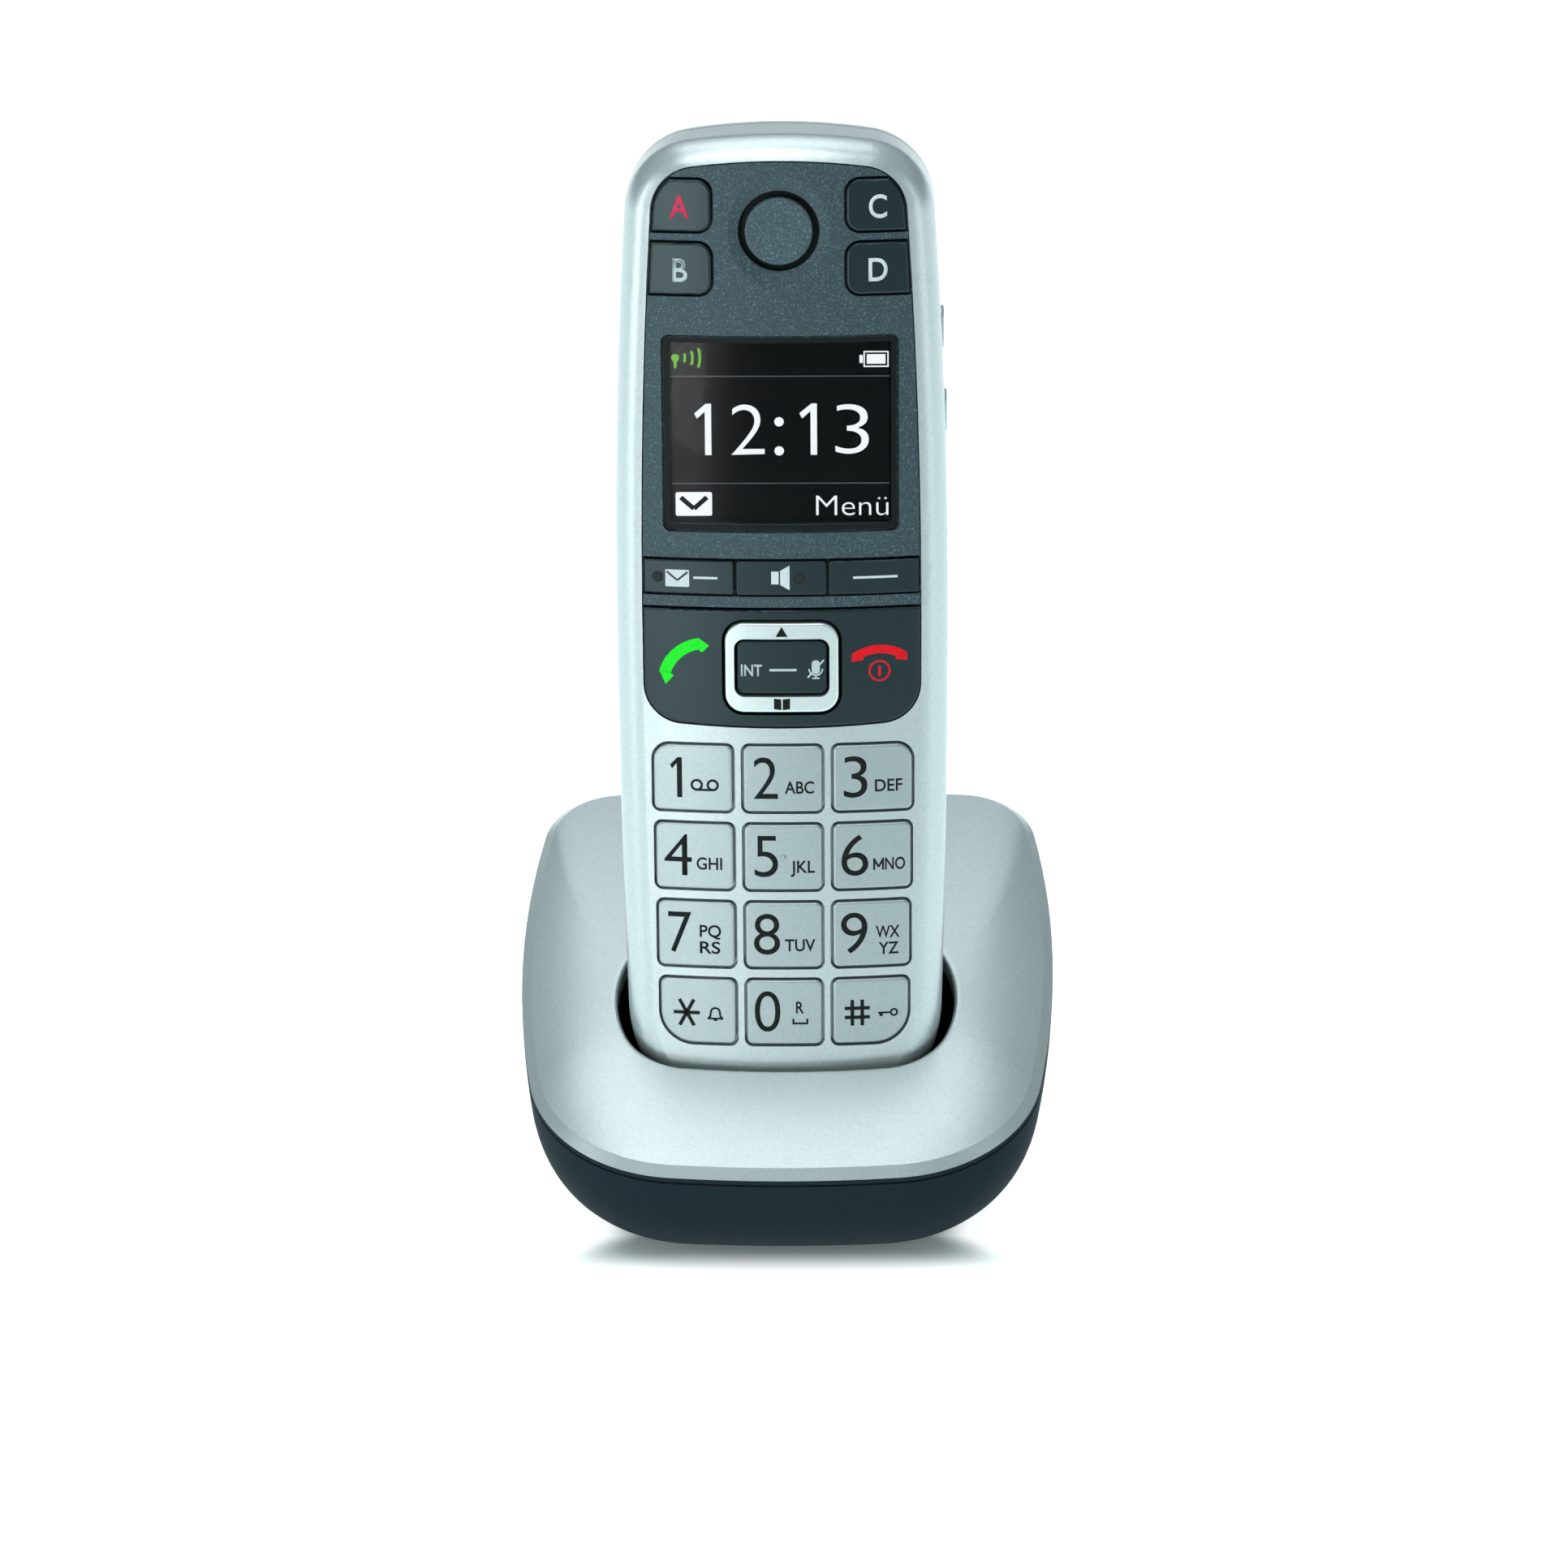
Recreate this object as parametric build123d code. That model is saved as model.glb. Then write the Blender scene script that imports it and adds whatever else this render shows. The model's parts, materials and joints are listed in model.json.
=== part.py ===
from build123d import *
import os
from math import cos, radians, sin, sqrt

# Cordless phone standing in its charging base. Millimetres, +Z up, the front faces -Y,
# the origin is under the middle of the base on the surface that it stands on.

# Handset, outside. Its own frame: x to the right, y along its length from the bottom end,
# z out of the front, zero at the highest line of the crowned front.
HANDSET_LENGTH = 155.4
HANDSET_WIDTH = 49.6
HANDSET_THICKNESS = 27.0
WIDEST_HEIGHT = 85.0
UPPER_SIDE_RADIUS = 950.0
LOWER_SIDE_RADIUS = 2300.0
END_RADIUS = 90.0
TOP_CORNER_RADIUS = 11.0
BOTTOM_CORNER_RADIUS = 22.0
CROWN_RADIUS = 100.0
FRONT_EDGE_RADIUS = 5.0
BACK_EDGE_RADIUS = 10.0
BACK_BOW_RADIUS = 1200.0
BACK_BOW_HEIGHT = 80.0
HANDSET_WALL = 1.8
PARTING_DEPTH = 14.0
PARTING_GROOVE = 0.35
LEAN_ANGLE = 14.0

# Dark panel let into the front, with the faceplate above and the call bar below.
PANEL_INSET = 4.0
PANEL_TOP_INSET = 3.3
PANEL_BOTTOM = 66.6
PANEL_BOTTOM_RADIUS = 230.0
PANEL_BOTTOM_CORNER = 6.0
PANEL_GAP = 0.2
PANEL_SEAT_WIDTH = 1.2
PANEL_SEAT_THICKNESS = 1.1
FACEPLATE_SINK = 0.1
FACEPLATE_THICKNESS = 2.3
FACEPLATE_BOTTOM = 85.2

# Keys of the handset.
KEY_TRAVEL = 0.7
PANEL_KEY_TRAVEL = 0.5
KEY_GAP = 0.4
PANEL_KEY_GAP = 0.35
PANEL_KEY_EDGE_GAP = 0.45
KEY_PROUD = 0.3
PANEL_KEY_PROUD = 0.25
KEY_EDGE_ROUND = 0.35
KEY_FLANGE_WIDTH = 0.2
KEY_FLANGE_THICKNESS = 0.6
KEY_FLANGE_GAP = 0.25
PANEL_KEY_UNDERSIDE = 1.35
PANEL_KEY_FLOOR_GAP = 0.15
KEY_POCKET_DEPTH = PANEL_KEY_UNDERSIDE + PANEL_KEY_TRAVEL + PANEL_KEY_FLOOR_GAP
STEM_RADIUS = 1.8
STEM_GAP = 0.4
STEM_END_DEPTH = 4.4
NUB_GAP = 0.1

# Number keys: four rows that narrow a little towards the bottom end.
KEYPAD_TOP_ROW = 58.8
KEY_ROW_PITCH = 12.25
KEY_HEIGHT = 10.2
KEY_COLUMN_PITCH = 13.45
KEY_COLUMN_TAPER = 0.14
KEY_COLUMN_SPACE = 1.7
KEY_CORNER = 0.9
KEYPAD_TOP_CORNER = 2.4
KEYPAD_BOTTOM_CORNER = 5.0

# Direct keys in pairs beside the earpiece, and the row of three function keys.
DIRECT_KEY_INNER = 9.9
DIRECT_KEY_HEIGHT = 7.65
DIRECT_KEY_UPPER = 145.5
DIRECT_KEY_LOWER = 136.15
DIRECT_KEY_CORNER = 2.0
DIRECT_STEM_X = 14.6
FUNCTION_KEY_MIDDLE = 89.75
FUNCTION_KEY_HEIGHT = 5.1
FUNCTION_KEY_HALF = 6.65
FUNCTION_KEY_SPACE = 0.45
FUNCTION_KEY_CORNER = 0.35
FUNCTION_STEM_X = 13.7
LED_RADIUS = 0.75
LED_GAP = 0.06
MESSAGE_LED_X = -18.35
SPEAKER_LED_X = 2.7

# Call bar with the navigation ring and its centre key.
CALL_BAR_TOP = 84.85
CALL_BAR_PROUD = 0.12
CALL_BAR_UNDERSIDE = 1.6
CALL_BAR_STEM_X = 15.0
RING_MIDDLE = 76.05
RING_WIDTH = 16.9
RING_HEIGHT = 13.7
RING_CORNER = 2.8
RING_HOLE_WIDTH = 14.2
RING_HOLE_HEIGHT = 8.9
RING_HOLE_CORNER = 1.5
RING_GAP = 0.5
RING_PROUD = 0.5
RING_STEM_RADIUS = 0.8
CENTRE_GAP = 0.4
CENTRE_PROUD = 0.2

# Display.
WINDOW_WIDTH = 34.4
WINDOW_HEIGHT = 29.1
WINDOW_MIDDLE = 111.4
WINDOW_CORNER = 0.9
WINDOW_GAP = 0.3
WINDOW_SINK = 0.4
WINDOW_THICKNESS = 1.0
WINDOW_LEDGE = 0.7
DISPLAY_GAP = 0.25
DISPLAY_FACE_DEPTH = 2.75

# Earpiece.
EARPIECE_HEIGHT = 141.7
EAR_DISC_RADIUS = 4.97
EAR_RING_GAP = 1.0
EAR_DISH_RADIUS = 8.7
EAR_DISH_DEPTH = 0.8
EAR_DISC_SINK = 0.15
EAR_DISC_THICKNESS = 1.4
EAR_ARM_DEPTH = 2.85
EAR_ARM_THICKNESS = 0.7
EAR_ARM_WIDTH = 1.6
EAR_ARM_REACH = 7.4
EAR_ARM_ANGLES = (90, 210, 330)
EAR_POST_RADIUS = 2.0
RECEIVER_RADIUS = 6.4
RECEIVER_GAP = 0.1

# Inside the handset.
MAT_INSET = 5.4
MAT_THICKNESS = 0.8
BOARD_TOP_DEPTH = 6.4
BOARD_THICKNESS = 1.2
BOARD_INSET = 3.2
BOARD_BOTTOM = 14.0
BOARD_TOP = 149.0
BOARD_POST_RADIUS = 2.0
LOWER_POST = (18.3, 30.0)
UPPER_POST = (15.5, 138.0)
MICROPHONE_HEIGHT = 7.0
MICROPHONE_RADIUS = 2.4
MICROPHONE_DEPTH = 2.0
MICROPHONE_HOLE = 0.6
RINGER_HEIGHT = 126.0
RINGER_RADIUS = 8.0
RINGER_DEPTH = 4.5
RINGER_GAP = 0.12
GRILLE_SLOTS = 5
GRILLE_SLOT_LENGTH = 9.0
GRILLE_SLOT_WIDTH = 1.0
GRILLE_PITCH = 2.2

# Two cells under the battery door on the back.
CELL_RADIUS = 5.25
CELL_LENGTH = 44.5
CELL_GAP = 0.2
BAY_BOTTOM = 47.5
BAY_SPRING_ROOM = 2.6
BAY_PLATE = 0.6
BAY_FLOOR_DEPTH = 13.4
BAY_WALL = 1.2
CONTACT_WIDTH = 6.5
SPRING_TIP_RADIUS = 1.6
SPRING_BASE_RADIUS = 3.2
DOOR_BOTTOM = 43.5
DOOR_TOP = 104.0
DOOR_WIDTH = 29.0
DOOR_THICKNESS = 1.6
DOOR_GAP = 0.25
DOOR_SEAT_THICKNESS = 1.4
DOOR_SEAT_MARGIN = 2.0
DOOR_NOTCH_RADIUS = 5.0
DOOR_NOTCH_DEPTH = 0.7

# Keys on the right-hand edge.
SIDE_KEY_HEIGHTS = {"side_key_upper": 125.4, "side_key_lower": 112.8}
SIDE_KEY_LENGTH = 6.5
SIDE_KEY_WIDTH = 3.4
SIDE_KEY_ROUND = 1.5
SIDE_KEY_DEPTH = 10.7
SIDE_KEY_PROUD = 0.25
SIDE_KEY_GAP = 0.25
SIDE_KEY_FLANGE = 0.6

# Screws and charging contacts at the bottom end of the handset.
HANDSET_SCREW_X = 14.0
HANDSET_SCREW_HEIGHT = 9.0
HANDSET_SCREW_RADIUS = 1.1
HANDSET_SCREW_HEAD_RADIUS = 2.3
HANDSET_SCREW_HEAD = 1.6
HANDSET_SCREW_SEAT_DEPTH = 19.0
HANDSET_SCREW_TIP_DEPTH = 7.0
SCREW_GAP = 0.1
BOSS_WALL = 1.5
HEAD_CLEARANCE = 0.3
CONTACT_X = 8.0
CONTACT_DEPTH = 16.8
CONTACT_PAD_RADIUS = 2.0
CONTACT_PAD_LENGTH = 3.0
CONTACT_PAD_SINK = 0.2
CONTACT_GAP = 0.05
PIN_RADIUS = 1.2
PIN_FLANGE_RADIUS = 2.0
PIN_FLANGE = 0.7
PIN_TAIL = 0.6
PIN_HOLE_GAP = 0.3

# Base, outside. The rim is a rounded square on a plane that rises towards the back.
RIM_WIDTH = 82.7
RIM_DEPTH = 90.3
RIM_TILT = 10.0
RIM_MIDDLE_HEIGHT = 28.3
RIM_WAIST = 5.0
RIM_SIDE_RADIUS = 200.0
RIM_FRONT_RADIUS = 200.0
RIM_BACK_RADIUS = 450.0
RIM_FRONT_CORNER = 24.0
RIM_BACK_CORNER = 12.0
BEVEL_WIDTH = 1.5
BEVEL_HEIGHT = 1.3
HILL_HEIGHT = 4.4
HILL_SHOULDER = 0.6
LIP_SETBACK = 19.85
LIP_ROUND = 0.5
COVER_WALL = 2.0
COVER_LAND = 3.5
BASE_WALL = 2.0
BOTTOM_HEIGHT = 0.8
BOTTOM_WIDTH = 57.0
BOTTOM_FRONT = 32.0
BOTTOM_BACK = 31.0
BELLY_HEIGHT = 9.5
BELLY_WIDTH = 73.0
BELLY_FRONT = 40.5
BELLY_BACK = 41.0
BELLY_TILT = 4.0
BELLY_CORNER = 21.0
BAND_HEIGHT = 0.7
BAND_GROOVE = 0.35
BAND_GROOVE_DEPTH = 0.5

# Cradle that the handset stands in.
CRADLE_DEPTH = 13.5
CRADLE_SIDE_GAP = 1.1
CRADLE_FACE_GAP = 1.7
CRADLE_CORNER = 11.0
CRADLE_FRONT_RADIUS = 160.0
CRADLE_SIDE_RADIUS = 24.0
CRADLE_WALL = 1.4
CRADLE_FLOOR = 1.5
SEAT_GAP = 0.3
RIB_X = 9.0
RIB_WIDTH = 1.6
RIB_GAP = 0.45

# Inside and under the base.
BASE_BOARD_HEIGHT = 4.0
BASE_BOARD_THICKNESS = 1.4
BASE_BOARD_WIDTH = 43.0
BASE_BOARD_FRONT = 26.0
BASE_BOARD_BACK = 27.0
STANDOFF_RADIUS = 2.5
STANDOFF_INSET = 3.5
SOCKET_X = 12.0
SOCKET_WIDTH = 13.0
SOCKET_HEIGHT = 9.4
SOCKET_LENGTH = 13.0
SOCKET_OVERHANG = 6.5
SOCKET_MOUTH_WIDTH = 10.0
SOCKET_MOUTH_HEIGHT = 6.8
SOCKET_MOUTH_DEPTH = 10.0
SOCKET_WINDOW_GAP = 0.3
PAGING_HEIGHT = 22.5
PAGING_RADIUS = 4.0
PAGING_GAP = 0.3
PAGING_FLANGE = 1.2
PAGING_FLANGE_THICKNESS = 1.0
PAGING_FACE_SETBACK = 1.6
FOOT_RADIUS = 4.5
FOOT_RECESS = 0.9
FOOT_GAP = 0.05
FOOT_X = 16.0
FOOT_FRONT = 23.0
FOOT_BACK = 21.0
BASE_SCREW_PLACES = ((31.8, -3.0), (27.5, 25.0))
BASE_SCREW_RADIUS = 1.3
BASE_SCREW_HEAD_RADIUS = 2.6
BASE_SCREW_HEAD = 2.0
BASE_SCREW_SEAT_HEIGHT = 10.5
BASE_SCREW_TIP_HEIGHT = 20.0
BASE_COLUMN_HEIGHT = 13.0
PLUG_GAP = 0.05
PLUG_HEAD_GAP = 0.2

# Room past the shapes for cutting blocks, so that a cut never ends on a face.
MARGIN = 4.0


def sag(radius, reach):
    """Drop of an arc of this radius at this distance from its middle."""
    return radius - sqrt(radius**2 - reach**2)


def box_between(low, high):
    """Box from its lowest to its highest corner."""
    size = [b - a for a, b in zip(low, high)]
    return Pos(*[(a + b) / 2 for a, b in zip(low, high)]) * Box(*size)


def round_corners(face, picks):
    """Round the corner of a face nearest to each given point."""
    for (x, y), radius in picks:
        corner = face.vertices().sort_by_distance((x, y, 0))[0]
        face = fillet(corner, radius)
    return face


def rounded_rectangle(x0, y0, x1, y1, radii):
    """Rectangle with its own radius at lower left, lower right, upper right and upper left."""
    face = Pos((x0 + x1) / 2, (y0 + y1) / 2) * Rectangle(x1 - x0, y1 - y0)
    corners = ((x0, y0), (x1, y0), (x1, y1), (x0, y1))
    return round_corners(face, [(c, r) for c, r in zip(corners, radii) if r > 0])


def bowed_square(half, low, high, waist, bows, corners):
    """Rounded square whose four edges bow out, widest at the waist.

    bows holds the radii of the sides, the low edge and the high edge, corners the low and high ones.
    """
    side_bow, low_bow, high_bow = bows
    low_x = half - sag(side_bow, waist - low)
    high_x = half - sag(side_bow, high - waist)
    low_y = low + sag(low_bow, low_x)
    high_y = high - sag(high_bow, high_x)
    edges = [
        ThreePointArc((-low_x, low_y), (0, low), (low_x, low_y)),
        ThreePointArc((low_x, low_y), (half, waist), (high_x, high_y)),
        ThreePointArc((high_x, high_y), (0, high), (-high_x, high_y)),
        ThreePointArc((-high_x, high_y), (-half, waist), (-low_x, low_y)),
    ]
    picks = [((-low_x, low_y), corners[0]), ((low_x, low_y), corners[0])]
    picks += [((high_x, high_y), corners[1]), ((-high_x, high_y), corners[1])]
    return round_corners(make_face(edges), picks)


def drilled(x, y, radius, low, high):
    """Cylinder along z between two heights."""
    return Pos(x, y, (low + high) / 2) * Cylinder(radius, high - low)


def pin_along(x, z, radius, low, high):
    """Cylinder along the handset's length."""
    return Pos(x, (low + high) / 2, z) * Rot(90, 0, 0) * Cylinder(radius, high - low)


# Frames of the two halves of the object.

RIM_FRAME = Plane(
    origin=(0, 0, RIM_MIDDLE_HEIGHT),
    x_dir=(1, 0, 0),
    z_dir=(0, -sin(radians(RIM_TILT)), cos(radians(RIM_TILT))),
)
LIP_Y = LIP_SETBACK - RIM_DEPTH / 2
MOUTH_ANGLE = radians(LEAN_ANGLE + RIM_TILT)
HANDSET_UP = Vector(0, sin(radians(LEAN_ANGLE)), cos(radians(LEAN_ANGLE)))
HANDSET_OUT = Vector(0, -cos(radians(LEAN_ANGLE)), sin(radians(LEAN_ANGLE)))
LIP_POINT = RIM_FRAME.from_local_coords(Vector(0, LIP_Y, HILL_HEIGHT))
HANDSET_FRAME = Plane(
    origin=LIP_POINT - HANDSET_OUT * CRADLE_FACE_GAP - HANDSET_UP * CRADLE_DEPTH,
    x_dir=(1, 0, 0),
    z_dir=HANDSET_OUT,
)
MOUTH_IN_HANDSET = Plane(
    origin=(0, CRADLE_DEPTH, CRADLE_FACE_GAP),
    x_dir=(1, 0, 0),
    z_dir=(0, cos(MOUTH_ANGLE), sin(MOUTH_ANGLE)),
)


# Handset shapes, all in the handset's own frame.

def side_x(height, inset=0.0):
    """Half the width of the handset at a height above its bottom end."""
    bow = UPPER_SIDE_RADIUS if height > WIDEST_HEIGHT else LOWER_SIDE_RADIUS
    return HANDSET_WIDTH / 2 - inset - sag(bow, abs(height - WIDEST_HEIGHT))


def handset_outline(inset, top, bottom, bottom_bow, bottom_corner):
    """Front view of the handset drawn in by inset, between its own top and bottom arcs."""
    half = HANDSET_WIDTH / 2 - inset
    upper_x = side_x(top, inset)
    upper = (upper_x, top - sag(END_RADIUS, upper_x))
    lower_x = side_x(bottom, inset)
    lower = (lower_x, bottom + sag(bottom_bow, lower_x))
    edges = [
        ThreePointArc(upper, (0, top), (-upper[0], upper[1])),
        TangentArc((-half, WIDEST_HEIGHT), (-upper[0], upper[1]), tangent=(0, 1)),
        TangentArc((-half, WIDEST_HEIGHT), (-lower[0], lower[1]), tangent=(0, -1)),
        ThreePointArc((-lower[0], lower[1]), (0, bottom), lower),
        TangentArc((half, WIDEST_HEIGHT), lower, tangent=(0, -1)),
        TangentArc((half, WIDEST_HEIGHT), upper, tangent=(0, 1)),
    ]
    top_corner = TOP_CORNER_RADIUS - inset
    picks = [(upper, top_corner), ((-upper[0], upper[1]), top_corner)]
    picks += [(lower, bottom_corner), ((-lower[0], lower[1]), bottom_corner)]
    return round_corners(make_face(edges), picks)


def body_outline(inset):
    """Front view of the whole handset drawn in by inset."""
    return handset_outline(inset, HANDSET_LENGTH - inset, inset, END_RADIUS, BOTTOM_CORNER_RADIUS - inset)


def panel_outline(inset):
    """Front view of the dark panel drawn in by inset."""
    top = HANDSET_LENGTH - PANEL_TOP_INSET - inset
    corner = PANEL_BOTTOM_CORNER - inset
    return handset_outline(PANEL_INSET + inset, top, PANEL_BOTTOM + inset, PANEL_BOTTOM_RADIUS, corner)


def crown(height):
    """Everything behind the crowned front surface, moved out by height."""
    turned = Rot(90, 0, 0) * Cylinder(CROWN_RADIUS + height, HANDSET_LENGTH + 2 * MARGIN)
    return Pos(0, HANDSET_LENGTH / 2, -CROWN_RADIUS) * turned


def layer(face, top, bottom):
    """Part of the prism over a face that lies between two levels of the crown."""
    block = extrude(Pos(0, 0, -HANDSET_THICKNESS / 2) * face, HANDSET_THICKNESS / 2 + MARGIN)
    return block & (crown(top) - crown(bottom))


def handset_body(inset):
    """Outer form of the handset drawn in by inset on every side."""
    block = extrude(Pos(0, 0, -HANDSET_THICKNESS - MARGIN) * body_outline(inset),
                    HANDSET_THICKNESS + 2 * MARGIN)
    bow = Rot(0, 90, 0) * Cylinder(BACK_BOW_RADIUS - inset, HANDSET_WIDTH + 2 * MARGIN)
    back = Pos(0, BACK_BOW_HEIGHT, BACK_BOW_RADIUS - HANDSET_THICKNESS) * bow
    body = block & crown(-inset) & back
    mid = -HANDSET_THICKNESS / 2
    near = [e for e in body.edges() if e.center().Z > mid + HANDSET_THICKNESS / 4]
    body = fillet(near, FRONT_EDGE_RADIUS - inset)
    far = [e for e in body.edges() if e.center().Z < mid - HANDSET_THICKNESS / 4]
    return fillet(far, BACK_EDGE_RADIUS - inset)


def zone(low_z, high_z, half=HANDSET_WIDTH, low_y=-MARGIN, high_y=HANDSET_LENGTH + MARGIN):
    """Block of the handset's frame between two depths."""
    return box_between((-half, low_y, low_z), (half, high_y, high_z))


def number_keys():
    """Name, x, y, width and corner radii of each of the twelve number keys."""
    names = (("key_1", "key_2", "key_3"), ("key_4", "key_5", "key_6"),
             ("key_7", "key_8", "key_9"), ("key_star", "key_0", "key_hash"))
    places = []
    for row, row_names in enumerate(names):
        pitch = KEY_COLUMN_PITCH - KEY_COLUMN_TAPER * row
        for column, name in enumerate(row_names):
            radii = [KEY_CORNER] * 4
            if name == "key_1":
                radii[3] = KEYPAD_TOP_CORNER
            if name == "key_3":
                radii[2] = KEYPAD_TOP_CORNER
            if name == "key_star":
                radii[0] = KEYPAD_BOTTOM_CORNER
            if name == "key_hash":
                radii[1] = KEYPAD_BOTTOM_CORNER
            x = (column - 1) * pitch
            y = KEYPAD_TOP_ROW - row * KEY_ROW_PITCH
            places.append((name, x, y, pitch - KEY_COLUMN_SPACE, radii))
    return places


def number_key_face(x, y, width, radii, grow):
    """Outline of one number key, larger by grow on every side."""
    half_w = width / 2 + grow
    half_h = KEY_HEIGHT / 2 + grow
    return rounded_rectangle(x - half_w, y - half_h, x + half_w, y + half_h,
                             [r + grow for r in radii])


def direct_keys():
    """Name, side and height of the four direct keys."""
    return (("direct_key_a", -1, DIRECT_KEY_UPPER), ("direct_key_b", -1, DIRECT_KEY_LOWER),
            ("direct_key_c", 1, DIRECT_KEY_UPPER), ("direct_key_d", 1, DIRECT_KEY_LOWER))


def direct_key_face(side, y, grow):
    """Outline of a direct key before the edge of the panel trims it."""
    half_h = DIRECT_KEY_HEIGHT / 2 + grow
    inner = DIRECT_KEY_INNER - grow
    corner = DIRECT_KEY_CORNER + grow
    if side < 0:
        return rounded_rectangle(-HANDSET_WIDTH / 2, y - half_h, -inner, y + half_h,
                                 (0, corner, corner, 0))
    return rounded_rectangle(inner, y - half_h, HANDSET_WIDTH / 2, y + half_h,
                             (corner, 0, 0, corner))


def function_keys():
    """Name, left edge, right edge and stem place of the three function keys."""
    outer = HANDSET_WIDTH / 2
    inner = FUNCTION_KEY_HALF + FUNCTION_KEY_SPACE
    return (("message_key", -outer, -inner, -FUNCTION_STEM_X),
            ("speaker_key", -FUNCTION_KEY_HALF, FUNCTION_KEY_HALF, 0.0),
            ("menu_key", inner, outer, FUNCTION_STEM_X))


def window_face(width, height, corner):
    """Rectangle around the middle of the display."""
    return rounded_rectangle(-width / 2, WINDOW_MIDDLE - height / 2,
                             width / 2, WINDOW_MIDDLE + height / 2, [corner] * 4)


def ring_face(width, height, corner):
    """Rounded rectangle around the middle of the navigation ring."""
    return rounded_rectangle(-width / 2, RING_MIDDLE - height / 2,
                             width / 2, RING_MIDDLE + height / 2, [corner] * 4)


def eased(solid, radius):
    """Solid with the edge of its highest face rounded."""
    return fillet(solid.faces().sort_by(Axis.Z)[-1].outer_wire().edges(), radius)


def stem(x, y, top_depth, radius=STEM_RADIUS):
    """Post under a key that reaches down to the rubber mat."""
    return drilled(x, y, radius, -STEM_END_DEPTH, -top_depth)


def crown_depth(x):
    """Depth of the crowned front at a distance from the middle line."""
    return sag(CROWN_RADIUS, abs(x))


def make_number_keys():
    """Twelve keys, each a cap with a flange under the cover and a stem."""
    flange_top = -HANDSET_WALL - KEY_FLANGE_GAP
    flange_low = flange_top - KEY_FLANGE_THICKNESS
    keys = {}
    for name, x, y, width, radii in number_keys():
        cap = eased(layer(number_key_face(x, y, width, radii, 0), KEY_PROUD, flange_low),
                    KEY_EDGE_ROUND)
        grown = number_key_face(x, y, width, radii, KEY_GAP + KEY_FLANGE_WIDTH)
        flange = layer(grown, flange_top, flange_low)
        keys[name] = cap + flange + stem(x, y, crown_depth(x) - flange_top)
    return keys


def make_direct_keys():
    """Four keys that run out to the edge of the dark panel."""
    edge = panel_outline(PANEL_KEY_EDGE_GAP)
    keys = {}
    for name, side, y in direct_keys():
        x = side * DIRECT_STEM_X
        cap = layer(direct_key_face(side, y, 0) & edge, PANEL_KEY_PROUD, -PANEL_KEY_UNDERSIDE)
        keys[name] = eased(cap, KEY_EDGE_ROUND) + stem(x, y, crown_depth(x) + PANEL_KEY_UNDERSIDE / 2)
    return keys


def led_lens(x, grow, top):
    """Round lamp lens that stands in a function key."""
    depth = crown_depth(x)
    return drilled(x, FUNCTION_KEY_MIDDLE, LED_RADIUS + grow, -depth - PANEL_KEY_UNDERSIDE, top - depth)


def make_function_keys():
    """Three keys in one row across the panel, two of them with a lamp lens."""
    edge = panel_outline(PANEL_KEY_EDGE_GAP)
    half_h = FUNCTION_KEY_HEIGHT / 2
    keys = {}
    for name, left, right, x in function_keys():
        face = rounded_rectangle(left, FUNCTION_KEY_MIDDLE - half_h, right,
                                 FUNCTION_KEY_MIDDLE + half_h, [FUNCTION_KEY_CORNER] * 4)
        cap = layer(face & edge, PANEL_KEY_PROUD, -PANEL_KEY_UNDERSIDE)
        post = stem(x, FUNCTION_KEY_MIDDLE, crown_depth(x) + PANEL_KEY_UNDERSIDE / 2, STEM_RADIUS / 2)
        keys[name] = eased(cap, KEY_EDGE_ROUND / 2) + post
    keys["message_key"] -= led_lens(MESSAGE_LED_X, LED_GAP, MARGIN)
    keys["speaker_key"] -= led_lens(SPEAKER_LED_X, LED_GAP, MARGIN)
    keys["message_led_lens"] = led_lens(MESSAGE_LED_X, 0, PANEL_KEY_PROUD)
    keys["speaker_led_lens"] = led_lens(SPEAKER_LED_X, 0, PANEL_KEY_PROUD)
    return keys


def make_call_bar():
    """Call bar, the ring in its middle and the key inside the ring."""
    below = rounded_rectangle(-HANDSET_WIDTH, 0, HANDSET_WIDTH, CALL_BAR_TOP, [0] * 4)
    hole = ring_face(RING_WIDTH + 2 * RING_GAP, RING_HEIGHT + 2 * RING_GAP, RING_CORNER + RING_GAP)
    bar = eased(layer(panel_outline(PANEL_GAP) & below, CALL_BAR_PROUD, -CALL_BAR_UNDERSIDE),
                KEY_EDGE_ROUND)
    bar -= layer(hole, MARGIN / 2, -HANDSET_WALL - MARGIN / 2)
    for x in (-CALL_BAR_STEM_X, CALL_BAR_STEM_X):
        bar += stem(x, RING_MIDDLE, crown_depth(x) + CALL_BAR_UNDERSIDE / 2)
    opening = ring_face(RING_HOLE_WIDTH, RING_HOLE_HEIGHT, RING_HOLE_CORNER)
    ring = eased(layer(ring_face(RING_WIDTH, RING_HEIGHT, RING_CORNER), RING_PROUD, -CALL_BAR_UNDERSIDE),
                 KEY_EDGE_ROUND)
    ring -= layer(opening, MARGIN / 2, -HANDSET_WALL - MARGIN / 2)
    stem_y = (RING_HEIGHT + RING_HOLE_HEIGHT) / 4
    for y in (RING_MIDDLE - stem_y, RING_MIDDLE + stem_y):
        ring += stem(0, y, CALL_BAR_UNDERSIDE / 2, RING_STEM_RADIUS)
    centre_face = ring_face(RING_HOLE_WIDTH - 2 * CENTRE_GAP, RING_HOLE_HEIGHT - 2 * CENTRE_GAP,
                            RING_HOLE_CORNER - CENTRE_GAP)
    centre = eased(layer(centre_face, CENTRE_PROUD, -CALL_BAR_UNDERSIDE), KEY_EDGE_ROUND)
    centre += stem(0, RING_MIDDLE, CALL_BAR_UNDERSIDE / 2)
    return {"call_bar": bar, "navigation_ring": ring, "navigation_centre": centre}


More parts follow.
